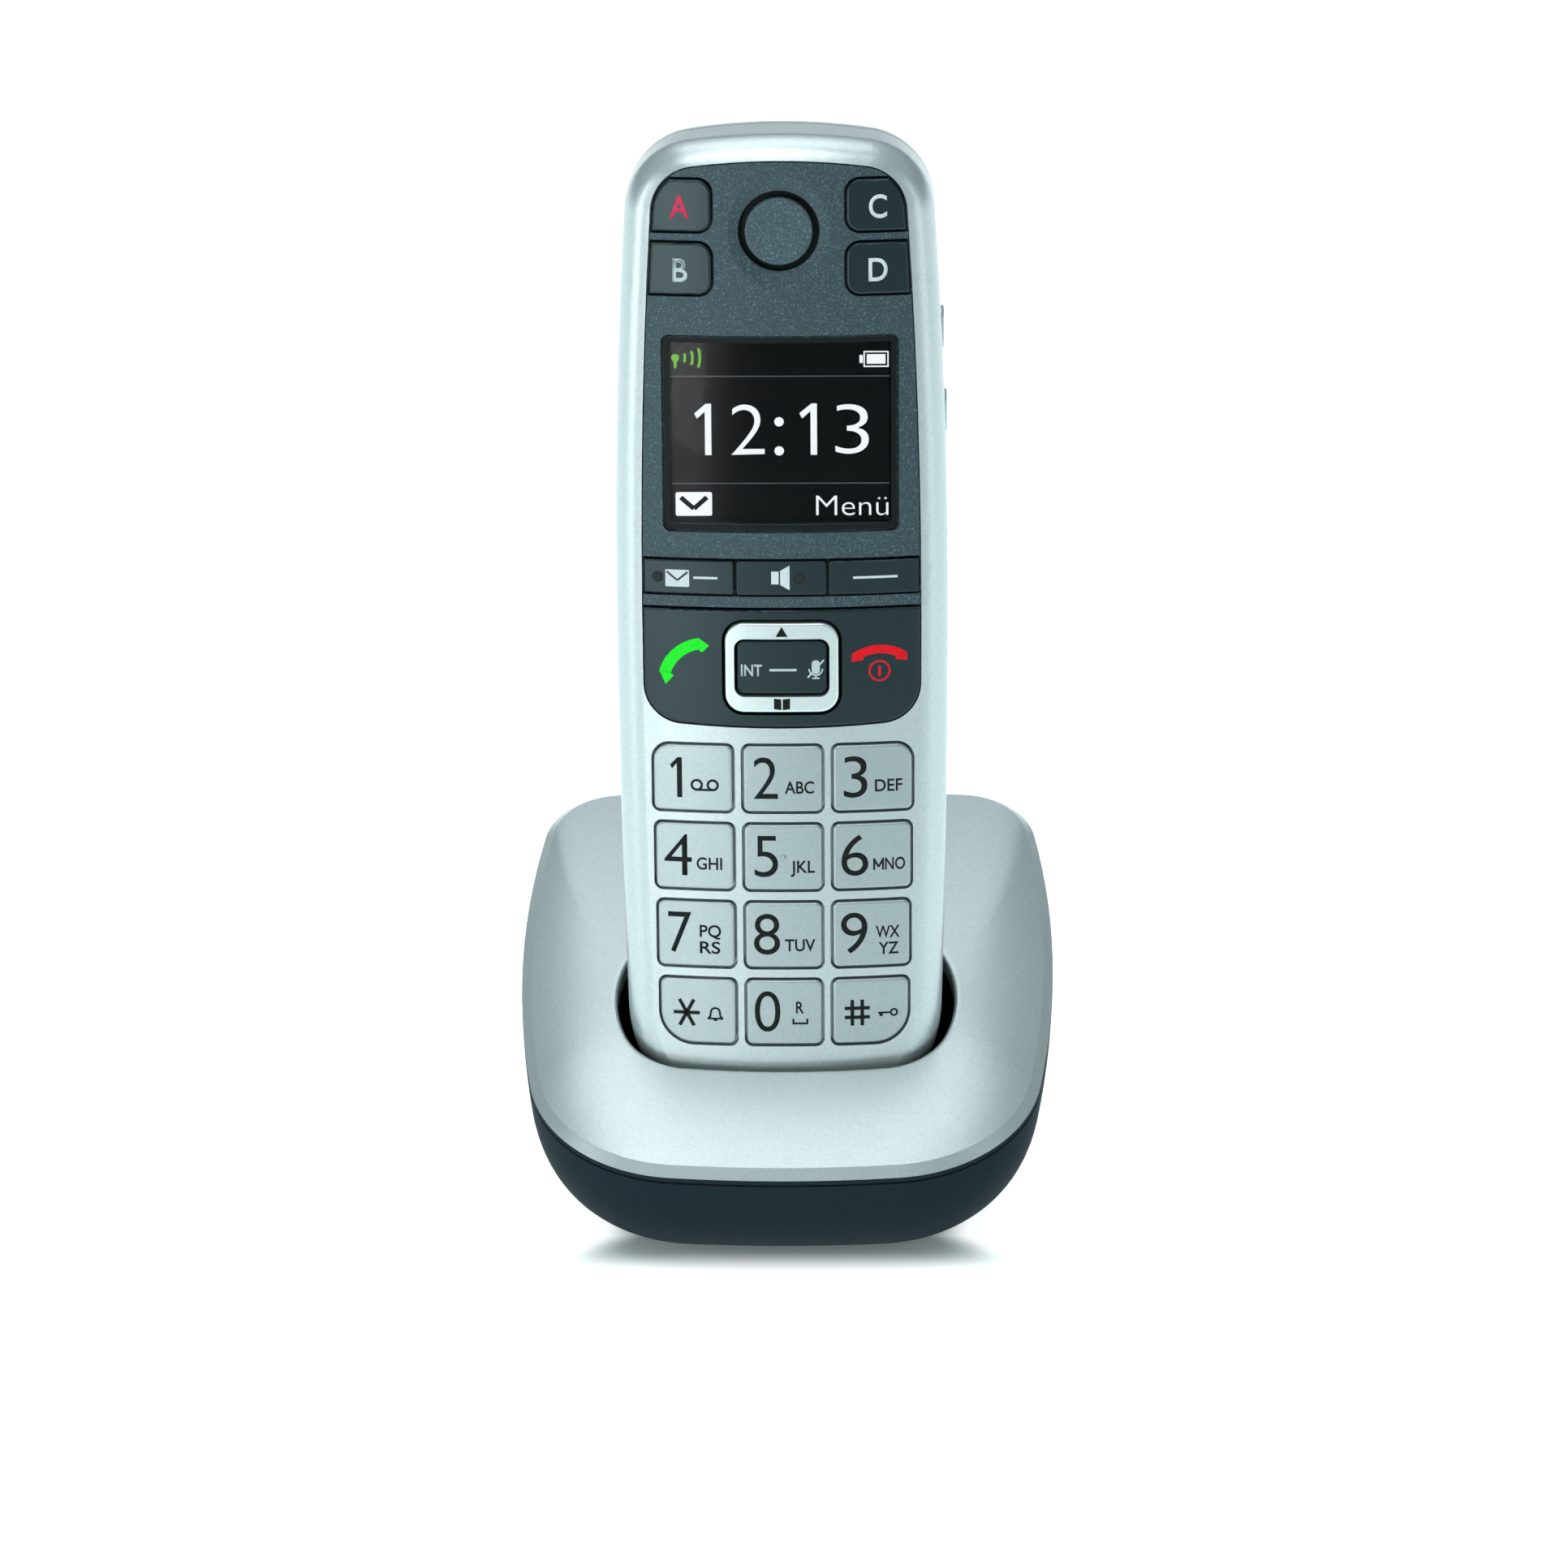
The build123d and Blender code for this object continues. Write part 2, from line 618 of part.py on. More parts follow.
def make_faceplate():
    """Dark textured plate with pockets for its keys, the window and the earpiece."""
    above = rounded_rectangle(-HANDSET_WIDTH, FACEPLATE_BOTTOM, HANDSET_WIDTH, HANDSET_LENGTH, [0] * 4)
    underside = -FACEPLATE_SINK - FACEPLATE_THICKNESS
    plate = layer(panel_outline(PANEL_GAP) & above, -FACEPLATE_SINK, underside)
    for name, side, y in direct_keys():
        plate -= layer(direct_key_face(side, y, PANEL_KEY_GAP), MARGIN / 2, -KEY_POCKET_DEPTH)
        plate -= stem(side * DIRECT_STEM_X, y, -MARGIN, STEM_RADIUS + STEM_GAP)
    half_h = FUNCTION_KEY_HEIGHT / 2 + PANEL_KEY_GAP
    row = rounded_rectangle(-HANDSET_WIDTH / 2, FUNCTION_KEY_MIDDLE - half_h,
                            HANDSET_WIDTH / 2, FUNCTION_KEY_MIDDLE + half_h, [0] * 4)
    plate -= layer(row, MARGIN / 2, -KEY_POCKET_DEPTH)
    for name, left, right, x in function_keys():
        plate -= stem(x, FUNCTION_KEY_MIDDLE, -MARGIN, STEM_RADIUS / 2 + STEM_GAP)
    recess = window_face(WINDOW_WIDTH + 2 * WINDOW_GAP, WINDOW_HEIGHT + 2 * WINDOW_GAP,
                         WINDOW_CORNER + WINDOW_GAP)
    plate -= layer(recess, MARGIN / 2, -WINDOW_SINK - WINDOW_THICKNESS)
    through = window_face(WINDOW_WIDTH - 2 * WINDOW_LEDGE, WINDOW_HEIGHT - 2 * WINDOW_LEDGE, WINDOW_CORNER)
    plate -= layer(through, MARGIN / 2, -FACEPLATE_THICKNESS - MARGIN / 2)
    ring_radius = EAR_DISC_RADIUS + EAR_RING_GAP
    plate -= drilled(0, EARPIECE_HEIGHT, ring_radius, -STEM_END_DEPTH, MARGIN)
    dish = Cone(ring_radius, EAR_DISH_RADIUS, EAR_DISH_DEPTH)
    plate -= Pos(0, EARPIECE_HEIGHT, -EAR_DISH_DEPTH / 2) * dish
    return plate


def make_earpiece():
    """Disc over the earpiece on three arms, and the receiver capsule behind it."""
    top = -EAR_DISC_SINK
    disc = eased(drilled(0, EARPIECE_HEIGHT, EAR_DISC_RADIUS, top - EAR_DISC_THICKNESS, top), KEY_EDGE_ROUND)
    arm_low = -EAR_ARM_DEPTH - EAR_ARM_THICKNESS
    disc += drilled(0, EARPIECE_HEIGHT, EAR_POST_RADIUS, arm_low, top - EAR_DISC_THICKNESS / 2)
    for angle in EAR_ARM_ANGLES:
        arm = box_between((0, -EAR_ARM_WIDTH / 2, arm_low),
                          (EAR_ARM_REACH, EAR_ARM_WIDTH / 2, -EAR_ARM_DEPTH))
        disc += Pos(0, EARPIECE_HEIGHT, 0) * Rot(0, 0, angle) * arm
    receiver = drilled(0, EARPIECE_HEIGHT, RECEIVER_RADIUS, -BOARD_TOP_DEPTH, arm_low - RECEIVER_GAP)
    return {"earpiece_disc": disc, "earpiece_receiver": receiver}


def make_display():
    """Crowned window in the faceplate and the flat display module behind it."""
    window = layer(window_face(WINDOW_WIDTH, WINDOW_HEIGHT, WINDOW_CORNER),
                   -WINDOW_SINK, -WINDOW_SINK - WINDOW_THICKNESS)
    inset = WINDOW_LEDGE + DISPLAY_GAP
    half_w = WINDOW_WIDTH / 2 - inset
    half_h = WINDOW_HEIGHT / 2 - inset
    module = box_between((-half_w, WINDOW_MIDDLE - half_h, -BOARD_TOP_DEPTH),
                         (half_w, WINDOW_MIDDLE + half_h, -DISPLAY_FACE_DEPTH))
    return {"display_window": window, "display_module": module}


def key_stems():
    """Place and radius of every stem that presses on the mat."""
    places = [(x, y, STEM_RADIUS) for name, x, y, width, radii in number_keys()]
    places += [(side * DIRECT_STEM_X, y, STEM_RADIUS) for name, side, y in direct_keys()]
    places += [(x, FUNCTION_KEY_MIDDLE, STEM_RADIUS / 2) for name, left, right, x in function_keys()]
    places += [(x, RING_MIDDLE, STEM_RADIUS) for x in (-CALL_BAR_STEM_X, 0, CALL_BAR_STEM_X)]
    return places


def make_mat_and_board():
    """Rubber mat with a nub under every key, on the handset's circuit board."""
    strip = rounded_rectangle(-HANDSET_WIDTH, BOARD_BOTTOM, HANDSET_WIDTH, BOARD_TOP, [0] * 4)
    face = body_outline(MAT_INSET) & strip
    mat = extrude(Pos(0, 0, -BOARD_TOP_DEPTH) * face, MAT_THICKNESS)
    mat -= Pos(0, 0, -BOARD_TOP_DEPTH) * extrude(window_face(WINDOW_WIDTH, WINDOW_HEIGHT, 0), MARGIN)
    mat -= drilled(0, EARPIECE_HEIGHT, RECEIVER_RADIUS + STEM_GAP, -BOARD_TOP_DEPTH - MARGIN, 0)
    nub_top = -STEM_END_DEPTH - KEY_TRAVEL - NUB_GAP
    for x, y, radius in key_stems():
        mat += drilled(x, y, radius, -BOARD_TOP_DEPTH, nub_top)
    board = extrude(Pos(0, 0, -BOARD_TOP_DEPTH - BOARD_THICKNESS) * (body_outline(BOARD_INSET) & strip),
                    BOARD_THICKNESS)
    return {"keypad_mat": mat, "handset_circuit_board": board}


def side_key(y, grow, inner_x, outer_x):
    """Bar across the side wall at the place of a side key, larger by grow."""
    face = RectangleRounded(SIDE_KEY_LENGTH + 2 * grow, SIDE_KEY_WIDTH + 2 * grow, SIDE_KEY_ROUND + grow)
    frame = Plane(origin=(inner_x, y, -SIDE_KEY_DEPTH), x_dir=(0, 1, 0), z_dir=(1, 0, 0))
    return extrude(frame * face, outer_x - inner_x)


def make_side_keys():
    """Two keys in the right-hand edge, each with a flange inside the wall."""
    keys = {}
    for name, y in SIDE_KEY_HEIGHTS.items():
        reach = SIDE_KEY_LENGTH / 2 + SIDE_KEY_GAP + SIDE_KEY_FLANGE
        wall_x = side_x(y + reach, HANDSET_WALL) - SIDE_KEY_GAP
        flange_x = wall_x - SIDE_KEY_FLANGE
        bar = side_key(y, 0, flange_x, side_x(y) + SIDE_KEY_PROUD)
        bar = fillet(bar.faces().sort_by(Axis.X)[-1].edges(), KEY_EDGE_ROUND)
        keys[name] = bar + side_key(y, SIDE_KEY_GAP + SIDE_KEY_FLANGE, flange_x, wall_x)
    return keys


def screw_places():
    """Places of the two handset screws."""
    return ((-HANDSET_SCREW_X, HANDSET_SCREW_HEIGHT), (HANDSET_SCREW_X, HANDSET_SCREW_HEIGHT))


def make_front_cover(outer, inner):
    """Front half of the handset with its panel seat, key holes and screw bosses."""
    cover = (outer - inner) & zone(-PARTING_DEPTH, MARGIN)
    seat_top = -FACEPLATE_SINK - FACEPLATE_THICKNESS
    seat_low = seat_top - PANEL_SEAT_THICKNESS
    skirt = panel_outline(-PANEL_SEAT_WIDTH) - panel_outline(0)
    ledge = panel_outline(-PANEL_GAP) - panel_outline(PANEL_SEAT_WIDTH)
    cover += layer(skirt, -HANDSET_WALL / 2, seat_low) & outer
    cover += layer(ledge, seat_top, seat_low)
    cover -= layer(panel_outline(0), MARGIN / 2, seat_top)
    cover -= layer(panel_outline(PANEL_SEAT_WIDTH), 0, seat_low - MARGIN)
    for name, x, y, width, radii in number_keys():
        hole = number_key_face(x, y, width, radii, KEY_GAP)
        cover -= layer(hole, MARGIN / 2, -HANDSET_WALL - MARGIN / 2)
    for x, y in screw_places():
        boss = drilled(x, y, HANDSET_SCREW_RADIUS + BOSS_WALL, -PARTING_DEPTH, 0)
        cover += boss & crown(-HANDSET_WALL / 2)
        cover -= drilled(x, y, HANDSET_SCREW_RADIUS + SCREW_GAP, -PARTING_DEPTH, -HANDSET_SCREW_TIP_DEPTH)
    cover -= drilled(0, MICROPHONE_HEIGHT, MICROPHONE_HOLE, -HANDSET_WALL - MARGIN, MARGIN)
    for y in SIDE_KEY_HEIGHTS.values():
        cover -= side_key(y, SIDE_KEY_GAP, side_x(y, HANDSET_WALL) - MARGIN, side_x(y) + MARGIN)
    return cover


def bay_top():
    """Height of the upper end of the battery bay."""
    return BAY_BOTTOM + BAY_SPRING_ROOM + CELL_LENGTH + BAY_PLATE


def bay_half():
    """Half the width of the battery bay."""
    return 2 * CELL_RADIUS + 2 * CELL_GAP


def make_rear_cover(outer, inner):
    """Back half of the handset with the battery bay, door seat, posts and grille."""
    back = -HANDSET_THICKNESS
    cover = (outer - inner) & zone(back - MARGIN, -PARTING_DEPTH)
    half_door = DOOR_WIDTH / 2
    seat_zone = zone(back, back + BACK_EDGE_RADIUS, half_door + DOOR_SEAT_MARGIN,
                     DOOR_BOTTOM - DOOR_SEAT_MARGIN, DOOR_TOP + DOOR_SEAT_MARGIN)
    seat_low = DOOR_THICKNESS + DOOR_GAP + DOOR_SEAT_THICKNESS
    cover += (handset_body(HANDSET_WALL / 2) - handset_body(seat_low)) & seat_zone
    tub = zone(back, -BAY_FLOOR_DEPTH + BAY_WALL, bay_half() + BAY_WALL,
               BAY_BOTTOM - BAY_WALL, bay_top() + BAY_WALL)
    cover += tub & handset_body(HANDSET_WALL / 2)
    cover -= zone(back - MARGIN, -BAY_FLOOR_DEPTH, bay_half(), BAY_BOTTOM, bay_top())
    pocket = zone(back - MARGIN, back + BACK_EDGE_RADIUS, half_door + DOOR_GAP,
                  DOOR_BOTTOM - DOOR_GAP, DOOR_TOP + DOOR_GAP)
    cover -= pocket - handset_body(DOOR_THICKNESS + DOOR_GAP)
    board_underside = -BOARD_TOP_DEPTH - BOARD_THICKNESS
    for x, y in (LOWER_POST, UPPER_POST):
        for side in (-1, 1):
            cover += drilled(side * x, y, BOARD_POST_RADIUS, back, board_underside) & outer
    for x, y in screw_places():
        seat = -HANDSET_SCREW_SEAT_DEPTH
        radius = HANDSET_SCREW_HEAD_RADIUS + HEAD_CLEARANCE
        cover += drilled(x, y, radius + BOSS_WALL / 2, back, -PARTING_DEPTH) & outer
        cover -= drilled(x, y, radius, back - MARGIN, seat)
        cover -= drilled(x, y, HANDSET_SCREW_RADIUS + SCREW_GAP, seat, -PARTING_DEPTH)
    for x in (-CONTACT_X, CONTACT_X):
        cover -= pin_along(x, -CONTACT_DEPTH, CONTACT_PAD_RADIUS + CONTACT_GAP,
                           -MARGIN, HANDSET_WALL + MARGIN)
    for index in range(GRILLE_SLOTS):
        y = RINGER_HEIGHT + (index - (GRILLE_SLOTS - 1) / 2) * GRILLE_PITCH
        slot = SlotOverall(GRILLE_SLOT_LENGTH, GRILLE_SLOT_WIDTH)
        cover -= extrude(Pos(0, y, back - MARGIN) * slot, HANDSET_WALL + 2 * MARGIN)
    return cover


def parting_groove(outer):
    """Thin ring cut out of both covers where they meet."""
    half = PARTING_GROOVE / 2
    ring = outer - extrude(Pos(0, 0, -HANDSET_THICKNESS) * body_outline(PARTING_GROOVE), HANDSET_THICKNESS)
    return ring & zone(-PARTING_DEPTH - half, -PARTING_DEPTH + half)


def door_hinge():
    """Height and depth of the line that the battery door swings about."""
    radius = DOOR_THICKNESS / 2
    height = DOOR_BOTTOM + radius
    depth = HANDSET_THICKNESS - sag(BACK_BOW_RADIUS, BACK_BOW_HEIGHT - height) - radius
    return height, -depth


def make_battery_door(outer):
    """Door over the cells with a rounded lower edge that it swings about."""
    back = -HANDSET_THICKNESS
    y, z = door_hinge()
    block = zone(back - MARGIN, back + BACK_EDGE_RADIUS, DOOR_WIDTH / 2, y, DOOR_TOP)
    door = (outer - handset_body(DOOR_THICKNESS)) & block
    door += Pos(0, y, z) * Rot(0, 90, 0) * Cylinder(DOOR_THICKNESS / 2, DOOR_WIDTH)
    notch_y = DOOR_TOP - DOOR_NOTCH_RADIUS
    notch_z = back + sag(BACK_BOW_RADIUS, notch_y - BACK_BOW_HEIGHT) + DOOR_NOTCH_DEPTH
    ball = Sphere((DOOR_NOTCH_RADIUS**2 + DOOR_NOTCH_DEPTH**2) / (2 * DOOR_NOTCH_DEPTH))
    return door - Pos(0, notch_y, notch_z - ball.radius) * ball


def make_battery():
    """Two cells with the contact plates and springs at their ends."""
    z = -BAY_FLOOR_DEPTH - CELL_RADIUS - CELL_GAP / 2
    low = BAY_BOTTOM + BAY_SPRING_ROOM
    high = low + CELL_LENGTH
    pieces = {"battery_contacts": Part()}
    for name, side in (("battery_cell_left", -1), ("battery_cell_right", 1)):
        x = side * (CELL_RADIUS + CELL_GAP / 2)
        pieces[name] = pin_along(x, z, CELL_RADIUS, low, high)
        half = CONTACT_WIDTH / 2
        upper = box_between((x - half, high, z - half), (x + half, high + BAY_PLATE, z + half))
        lower = box_between((x - half, BAY_BOTTOM, z - half), (x + half, BAY_BOTTOM + BAY_PLATE, z + half))
        coil = Rot(-90, 0, 0) * Cone(SPRING_BASE_RADIUS, SPRING_TIP_RADIUS, BAY_SPRING_ROOM - BAY_PLATE)
        lower += Pos(x, BAY_BOTTOM + (BAY_SPRING_ROOM + BAY_PLATE) / 2, z) * coil
        pieces["battery_contacts"] += [upper, lower]
    return pieces


def make_handset_fittings():
    """Screws, charging pads, microphone and ringer of the handset."""
    screws = Part()
    for x, y in screw_places():
        seat = -HANDSET_SCREW_SEAT_DEPTH
        screw = drilled(x, y, HANDSET_SCREW_HEAD_RADIUS, seat - HANDSET_SCREW_HEAD, seat)
        screws += screw + drilled(x, y, HANDSET_SCREW_RADIUS, seat, -HANDSET_SCREW_TIP_DEPTH)
    pad_low = pad_face()
    pads = Part()
    for x in (-CONTACT_X, CONTACT_X):
        pads += pin_along(x, -CONTACT_DEPTH, CONTACT_PAD_RADIUS, pad_low, pad_low + CONTACT_PAD_LENGTH)
    wall = -HANDSET_WALL - RINGER_GAP
    microphone = drilled(0, MICROPHONE_HEIGHT, MICROPHONE_RADIUS, wall - MICROPHONE_DEPTH, wall)
    ringer_low = sag(BACK_BOW_RADIUS, RINGER_HEIGHT + RINGER_RADIUS - BACK_BOW_HEIGHT)
    ringer_low += HANDSET_WALL + RINGER_GAP - HANDSET_THICKNESS
    ringer = drilled(0, RINGER_HEIGHT, RINGER_RADIUS, ringer_low, ringer_low + RINGER_DEPTH)
    return {"handset_screws": screws, "handset_charge_contacts": pads,
            "microphone": microphone, "ringer_speaker": ringer}


def pad_face():
    """Height of the outer face of the charging pads."""
    return sag(END_RADIUS, CONTACT_X) + CONTACT_PAD_SINK


# Base shapes. The cover is drawn in the rim's frame and the cradle in the handset's frame.

def rim_outline(inset):
    """Outline of the rim drawn in by inset, in the rim's frame."""
    return bowed_square(
        RIM_WIDTH / 2 - inset, inset - RIM_DEPTH / 2, RIM_DEPTH / 2 - inset, RIM_WAIST,
        (RIM_SIDE_RADIUS, RIM_FRONT_RADIUS, RIM_BACK_RADIUS),
        (RIM_FRONT_CORNER - inset, RIM_BACK_CORNER - inset),
    )


def bowl(inset, floor):
    """Rounded bowl under the rim, drawn in by inset, from a flat floor up to the rim plane."""
    bows = (RIM_SIDE_RADIUS, RIM_FRONT_RADIUS, RIM_FRONT_RADIUS)
    tilt = radians(BELLY_TILT)
    belly = Plane(origin=(0, 0, BELLY_HEIGHT), x_dir=(1, 0, 0), z_dir=(0, -sin(tilt), cos(tilt)))
    share = BOTTOM_WIDTH / RIM_WIDTH
    sections = [
        Pos(0, 0, floor) * bowed_square(
            BOTTOM_WIDTH / 2 - inset, inset - BOTTOM_FRONT, BOTTOM_BACK - inset, 0, bows,
            (BELLY_CORNER * share, RIM_BACK_CORNER * share)),
        belly * bowed_square(
            BELLY_WIDTH / 2 - inset, inset - BELLY_FRONT, BELLY_BACK - inset, RIM_WAIST / 2, bows,
            (BELLY_CORNER - inset, RIM_BACK_CORNER - inset)),
        RIM_FRAME * rim_outline(inset),
    ]
    return loft(sections)


def mouth_outline(grow):
    """Outline of the cradle's mouth in the rim's frame, larger by grow.

    The mouth cuts the straight well at an angle, so it is longer than the well's section.
    """
    stretch = 1 / cos(MOUTH_ANGLE)
    half_depth = (HANDSET_THICKNESS / 2 + CRADLE_FACE_GAP) * stretch
    corner = CRADLE_CORNER * stretch + grow
    return bowed_square(
        HANDSET_WIDTH / 2 + CRADLE_SIDE_GAP + grow, LIP_Y - grow, LIP_Y + 2 * half_depth + grow,
        LIP_Y + half_depth,
        (CRADLE_SIDE_RADIUS * stretch**2 + grow, CRADLE_FRONT_RADIUS, CRADLE_FRONT_RADIUS),
        (corner, corner),
    )


def cradle_section(grow):
    """Section of the cradle across the handset's length, larger by grow."""
    half_depth = HANDSET_THICKNESS / 2 + CRADLE_FACE_GAP + grow
    face = bowed_square(
        HANDSET_WIDTH / 2 + CRADLE_SIDE_GAP + grow, -half_depth, half_depth, 0,
        (CRADLE_SIDE_RADIUS + grow, CRADLE_FRONT_RADIUS, CRADLE_FRONT_RADIUS),
        (CRADLE_CORNER + grow, CRADLE_CORNER + grow),
    )
    across = Plane(origin=(0, 0, -HANDSET_THICKNESS / 2), x_dir=(1, 0, 0), z_dir=(0, 1, 0))
    return across * face


def cradle_prism(grow, low, high):
    """Straight well along the handset's length between two heights."""
    return extrude(Pos(0, low, 0) * cradle_section(grow), high - low)


def hill():
    """Outer form of the top cover: a bevelled rim and a hill that rises to the cradle."""
    mouth_grow = 2 * LIP_ROUND
    bevel = loft([rim_outline(0), Pos(0, 0, BEVEL_HEIGHT) * rim_outline(BEVEL_WIDTH)], ruled=True)
    half_depth = (HANDSET_THICKNESS / 2 + CRADLE_FACE_GAP) / cos(MOUTH_ANGLE)
    back = LIP_Y + 2 * half_depth + mouth_grow
    half = HANDSET_WIDTH / 2 + CRADLE_SIDE_GAP + mouth_grow
    middle = bowed_square(
        (RIM_WIDTH / 2 + half) / 2, (LIP_Y - RIM_DEPTH / 2) / 2, (back + RIM_DEPTH / 2) / 2,
        RIM_WAIST / 2,
        (RIM_SIDE_RADIUS, RIM_FRONT_RADIUS, RIM_FRONT_RADIUS),
        ((RIM_FRONT_CORNER + CRADLE_CORNER) / 2, (RIM_BACK_CORNER + CRADLE_CORNER) / 2),
    )
    rise = HILL_HEIGHT - BEVEL_HEIGHT
    slope = loft([
        Pos(0, 0, BEVEL_HEIGHT) * rim_outline(BEVEL_WIDTH),
        Pos(0, 0, BEVEL_HEIGHT + rise * HILL_SHOULDER) * middle,
        Pos(0, 0, HILL_HEIGHT) * mouth_outline(mouth_grow),
    ])
    return bevel + slope


def make_top_cover():
    """Silver cover of the base, hollow below, with the cradle's mouth and screw bosses."""
    form = hill()
    land = HILL_HEIGHT - COVER_WALL
    hollow = loft([rim_outline(COVER_WALL), Pos(0, 0, land) * mouth_outline(COVER_LAND)], ruled=True)
    below = box_between((-RIM_WIDTH, -RIM_DEPTH, -RIM_DEPTH), (RIM_WIDTH, RIM_DEPTH, 0))
    room = RIM_FRAME * (Pos(0, 0, -COVER_WALL / 2) * (form + below))
    cover = RIM_FRAME * (form - hollow)
    for x, y in base_screw_places():
        boss = drilled(x, y, BASE_SCREW_RADIUS + BOSS_WALL, BASE_COLUMN_HEIGHT, RIM_DEPTH)
        cover += boss & room
        cover -= drilled(x, y, BASE_SCREW_RADIUS + SCREW_GAP, 0, BASE_SCREW_TIP_HEIGHT + SCREW_GAP)
    cover -= HANDSET_FRAME * cradle_prism(0, -MARGIN, HANDSET_LENGTH / 2)
    summit = RIM_FRAME.from_local_coords(Vector(0, LIP_Y, HILL_HEIGHT))
    lip = cover.faces().filter_by(GeomType.PLANE).sort_by_distance(summit)[0]
    cover = fillet(lip.inner_wires()[0].edges(), LIP_ROUND)
    return cover


def base_screw_places():
    """Places of the four base screws."""
    return [(side * x, y) for x, y in BASE_SCREW_PLACES for side in (-1, 1)]


def socket_box(x, grow, back):
    """Room that a socket takes on the base's circuit board."""
    low = BASE_BOARD_HEIGHT + BASE_BOARD_THICKNESS
    face = BASE_BOARD_BACK + SOCKET_OVERHANG
    half = SOCKET_WIDTH / 2 + grow
    return box_between((x - half, face - SOCKET_LENGTH, low - grow),
                       (x + half, back, low + SOCKET_HEIGHT + grow))


def standoff_places():
    """Places of the four posts under the base's circuit board."""
    x = BASE_BOARD_WIDTH / 2 - STANDOFF_INSET
    return [(side * x, y) for side in (-1, 1)
            for y in (STANDOFF_INSET - BASE_BOARD_FRONT, BASE_BOARD_BACK - STANDOFF_INSET)]


def foot_places():
    """Places of the four rubber feet."""
    return [(side * FOOT_X, y) for side in (-1, 1) for y in (-FOOT_FRONT, FOOT_BACK)]


def paging_face():
    """Y of the outer face of the paging key."""
    return RIM_DEPTH * cos(radians(RIM_TILT)) / 2 - PAGING_FACE_SETBACK


def back_pin(radius, low, high):
    """Cylinder along Y at the place of the paging key."""
    return Pos(0, (low + high) / 2, PAGING_HEIGHT) * Rot(90, 0, 0) * Cylinder(radius, high - low)


def make_lower_shell():
    """Dark bowl of the base with its band, columns, posts, windows and foot recesses."""
    outer = bowl(0, BOTTOM_HEIGHT)
    inner = bowl(BASE_WALL, BOTTOM_HEIGHT + BASE_WALL)
    shell = outer - inner
    groove_zone = RIM_FRAME * box_between((-RIM_WIDTH, -RIM_DEPTH, -BAND_HEIGHT - BAND_GROOVE),
                                          (RIM_WIDTH, RIM_DEPTH, -BAND_HEIGHT))
    shell -= groove_zone - bowl(BAND_GROOVE_DEPTH, BOTTOM_HEIGHT)
    for x, y in standoff_places():
        shell += drilled(x, y, STANDOFF_RADIUS, BOTTOM_HEIGHT + BASE_WALL / 2, BASE_BOARD_HEIGHT) & outer
    for x, y in base_screw_places():
        radius = BASE_SCREW_HEAD_RADIUS + HEAD_CLEARANCE
        shell += drilled(x, y, radius + BOSS_WALL / 2, BOTTOM_HEIGHT, BASE_COLUMN_HEIGHT) & outer
        shell -= drilled(x, y, radius, -MARGIN, BASE_SCREW_SEAT_HEIGHT)
        shell -= drilled(x, y, BASE_SCREW_RADIUS + SCREW_GAP, 0, BASE_COLUMN_HEIGHT)
    for x in (-SOCKET_X, SOCKET_X):
        shell -= socket_box(x, SOCKET_WINDOW_GAP, RIM_DEPTH)
    shell -= back_pin(PAGING_RADIUS + PAGING_GAP, 0, RIM_DEPTH)
    for x, y in foot_places():
        shell -= drilled(x, y, FOOT_RADIUS + FOOT_GAP, 0, BOTTOM_HEIGHT + FOOT_RECESS)
    return shell, inner


def make_cradle():
    """Black well under the mouth with a floor, four guide ribs and two pin holes."""
    above = box_between((-RIM_WIDTH, -RIM_DEPTH, -COVER_WALL), (RIM_WIDTH, RIM_DEPTH, RIM_DEPTH))
    roof = MOUTH_IN_HANDSET * above
    low = -SEAT_GAP - CRADLE_FLOOR
    well = cradle_prism(CRADLE_WALL, low, HANDSET_LENGTH / 3)
    well -= cradle_prism(0, -SEAT_GAP, HANDSET_LENGTH / 2)
    for x in (-RIB_X, RIB_X):
        room = box_between((x - RIB_WIDTH / 2, low, -HANDSET_THICKNESS - MARGIN),
                           (x + RIB_WIDTH / 2, CRADLE_DEPTH / 2, MARGIN))
        path = box_between((x - RIB_WIDTH, -SEAT_GAP, -HANDSET_THICKNESS - RIB_GAP),
                           (x + RIB_WIDTH, HANDSET_LENGTH, RIB_GAP))
        well += (room & cradle_prism(CRADLE_WALL / 2, low, HANDSET_LENGTH / 3)) - path
    for x in (-CONTACT_X, CONTACT_X):
        well -= pin_along(x, -CONTACT_DEPTH, PIN_RADIUS + PIN_HOLE_GAP, low - MARGIN, MARGIN)
    return HANDSET_FRAME * (well - roof)


def make_charge_pins():
    """Two sprung pins that touch the pads in the bottom end of the handset."""
    floor = -SEAT_GAP - CRADLE_FLOOR
    flange_top = floor - NUB_GAP
    pins = {}
    for name, x in (("charge_pin_left", -CONTACT_X), ("charge_pin_right", CONTACT_X)):
        tip = pad_face() - CONTACT_GAP
        tail = flange_top - PIN_FLANGE - PIN_TAIL
        pin = pin_along(x, -CONTACT_DEPTH, PIN_RADIUS, tail, tip)
        pin += pin_along(x, -CONTACT_DEPTH, PIN_FLANGE_RADIUS, flange_top - PIN_FLANGE, flange_top)
        pins[name] = HANDSET_FRAME * pin
    return pins


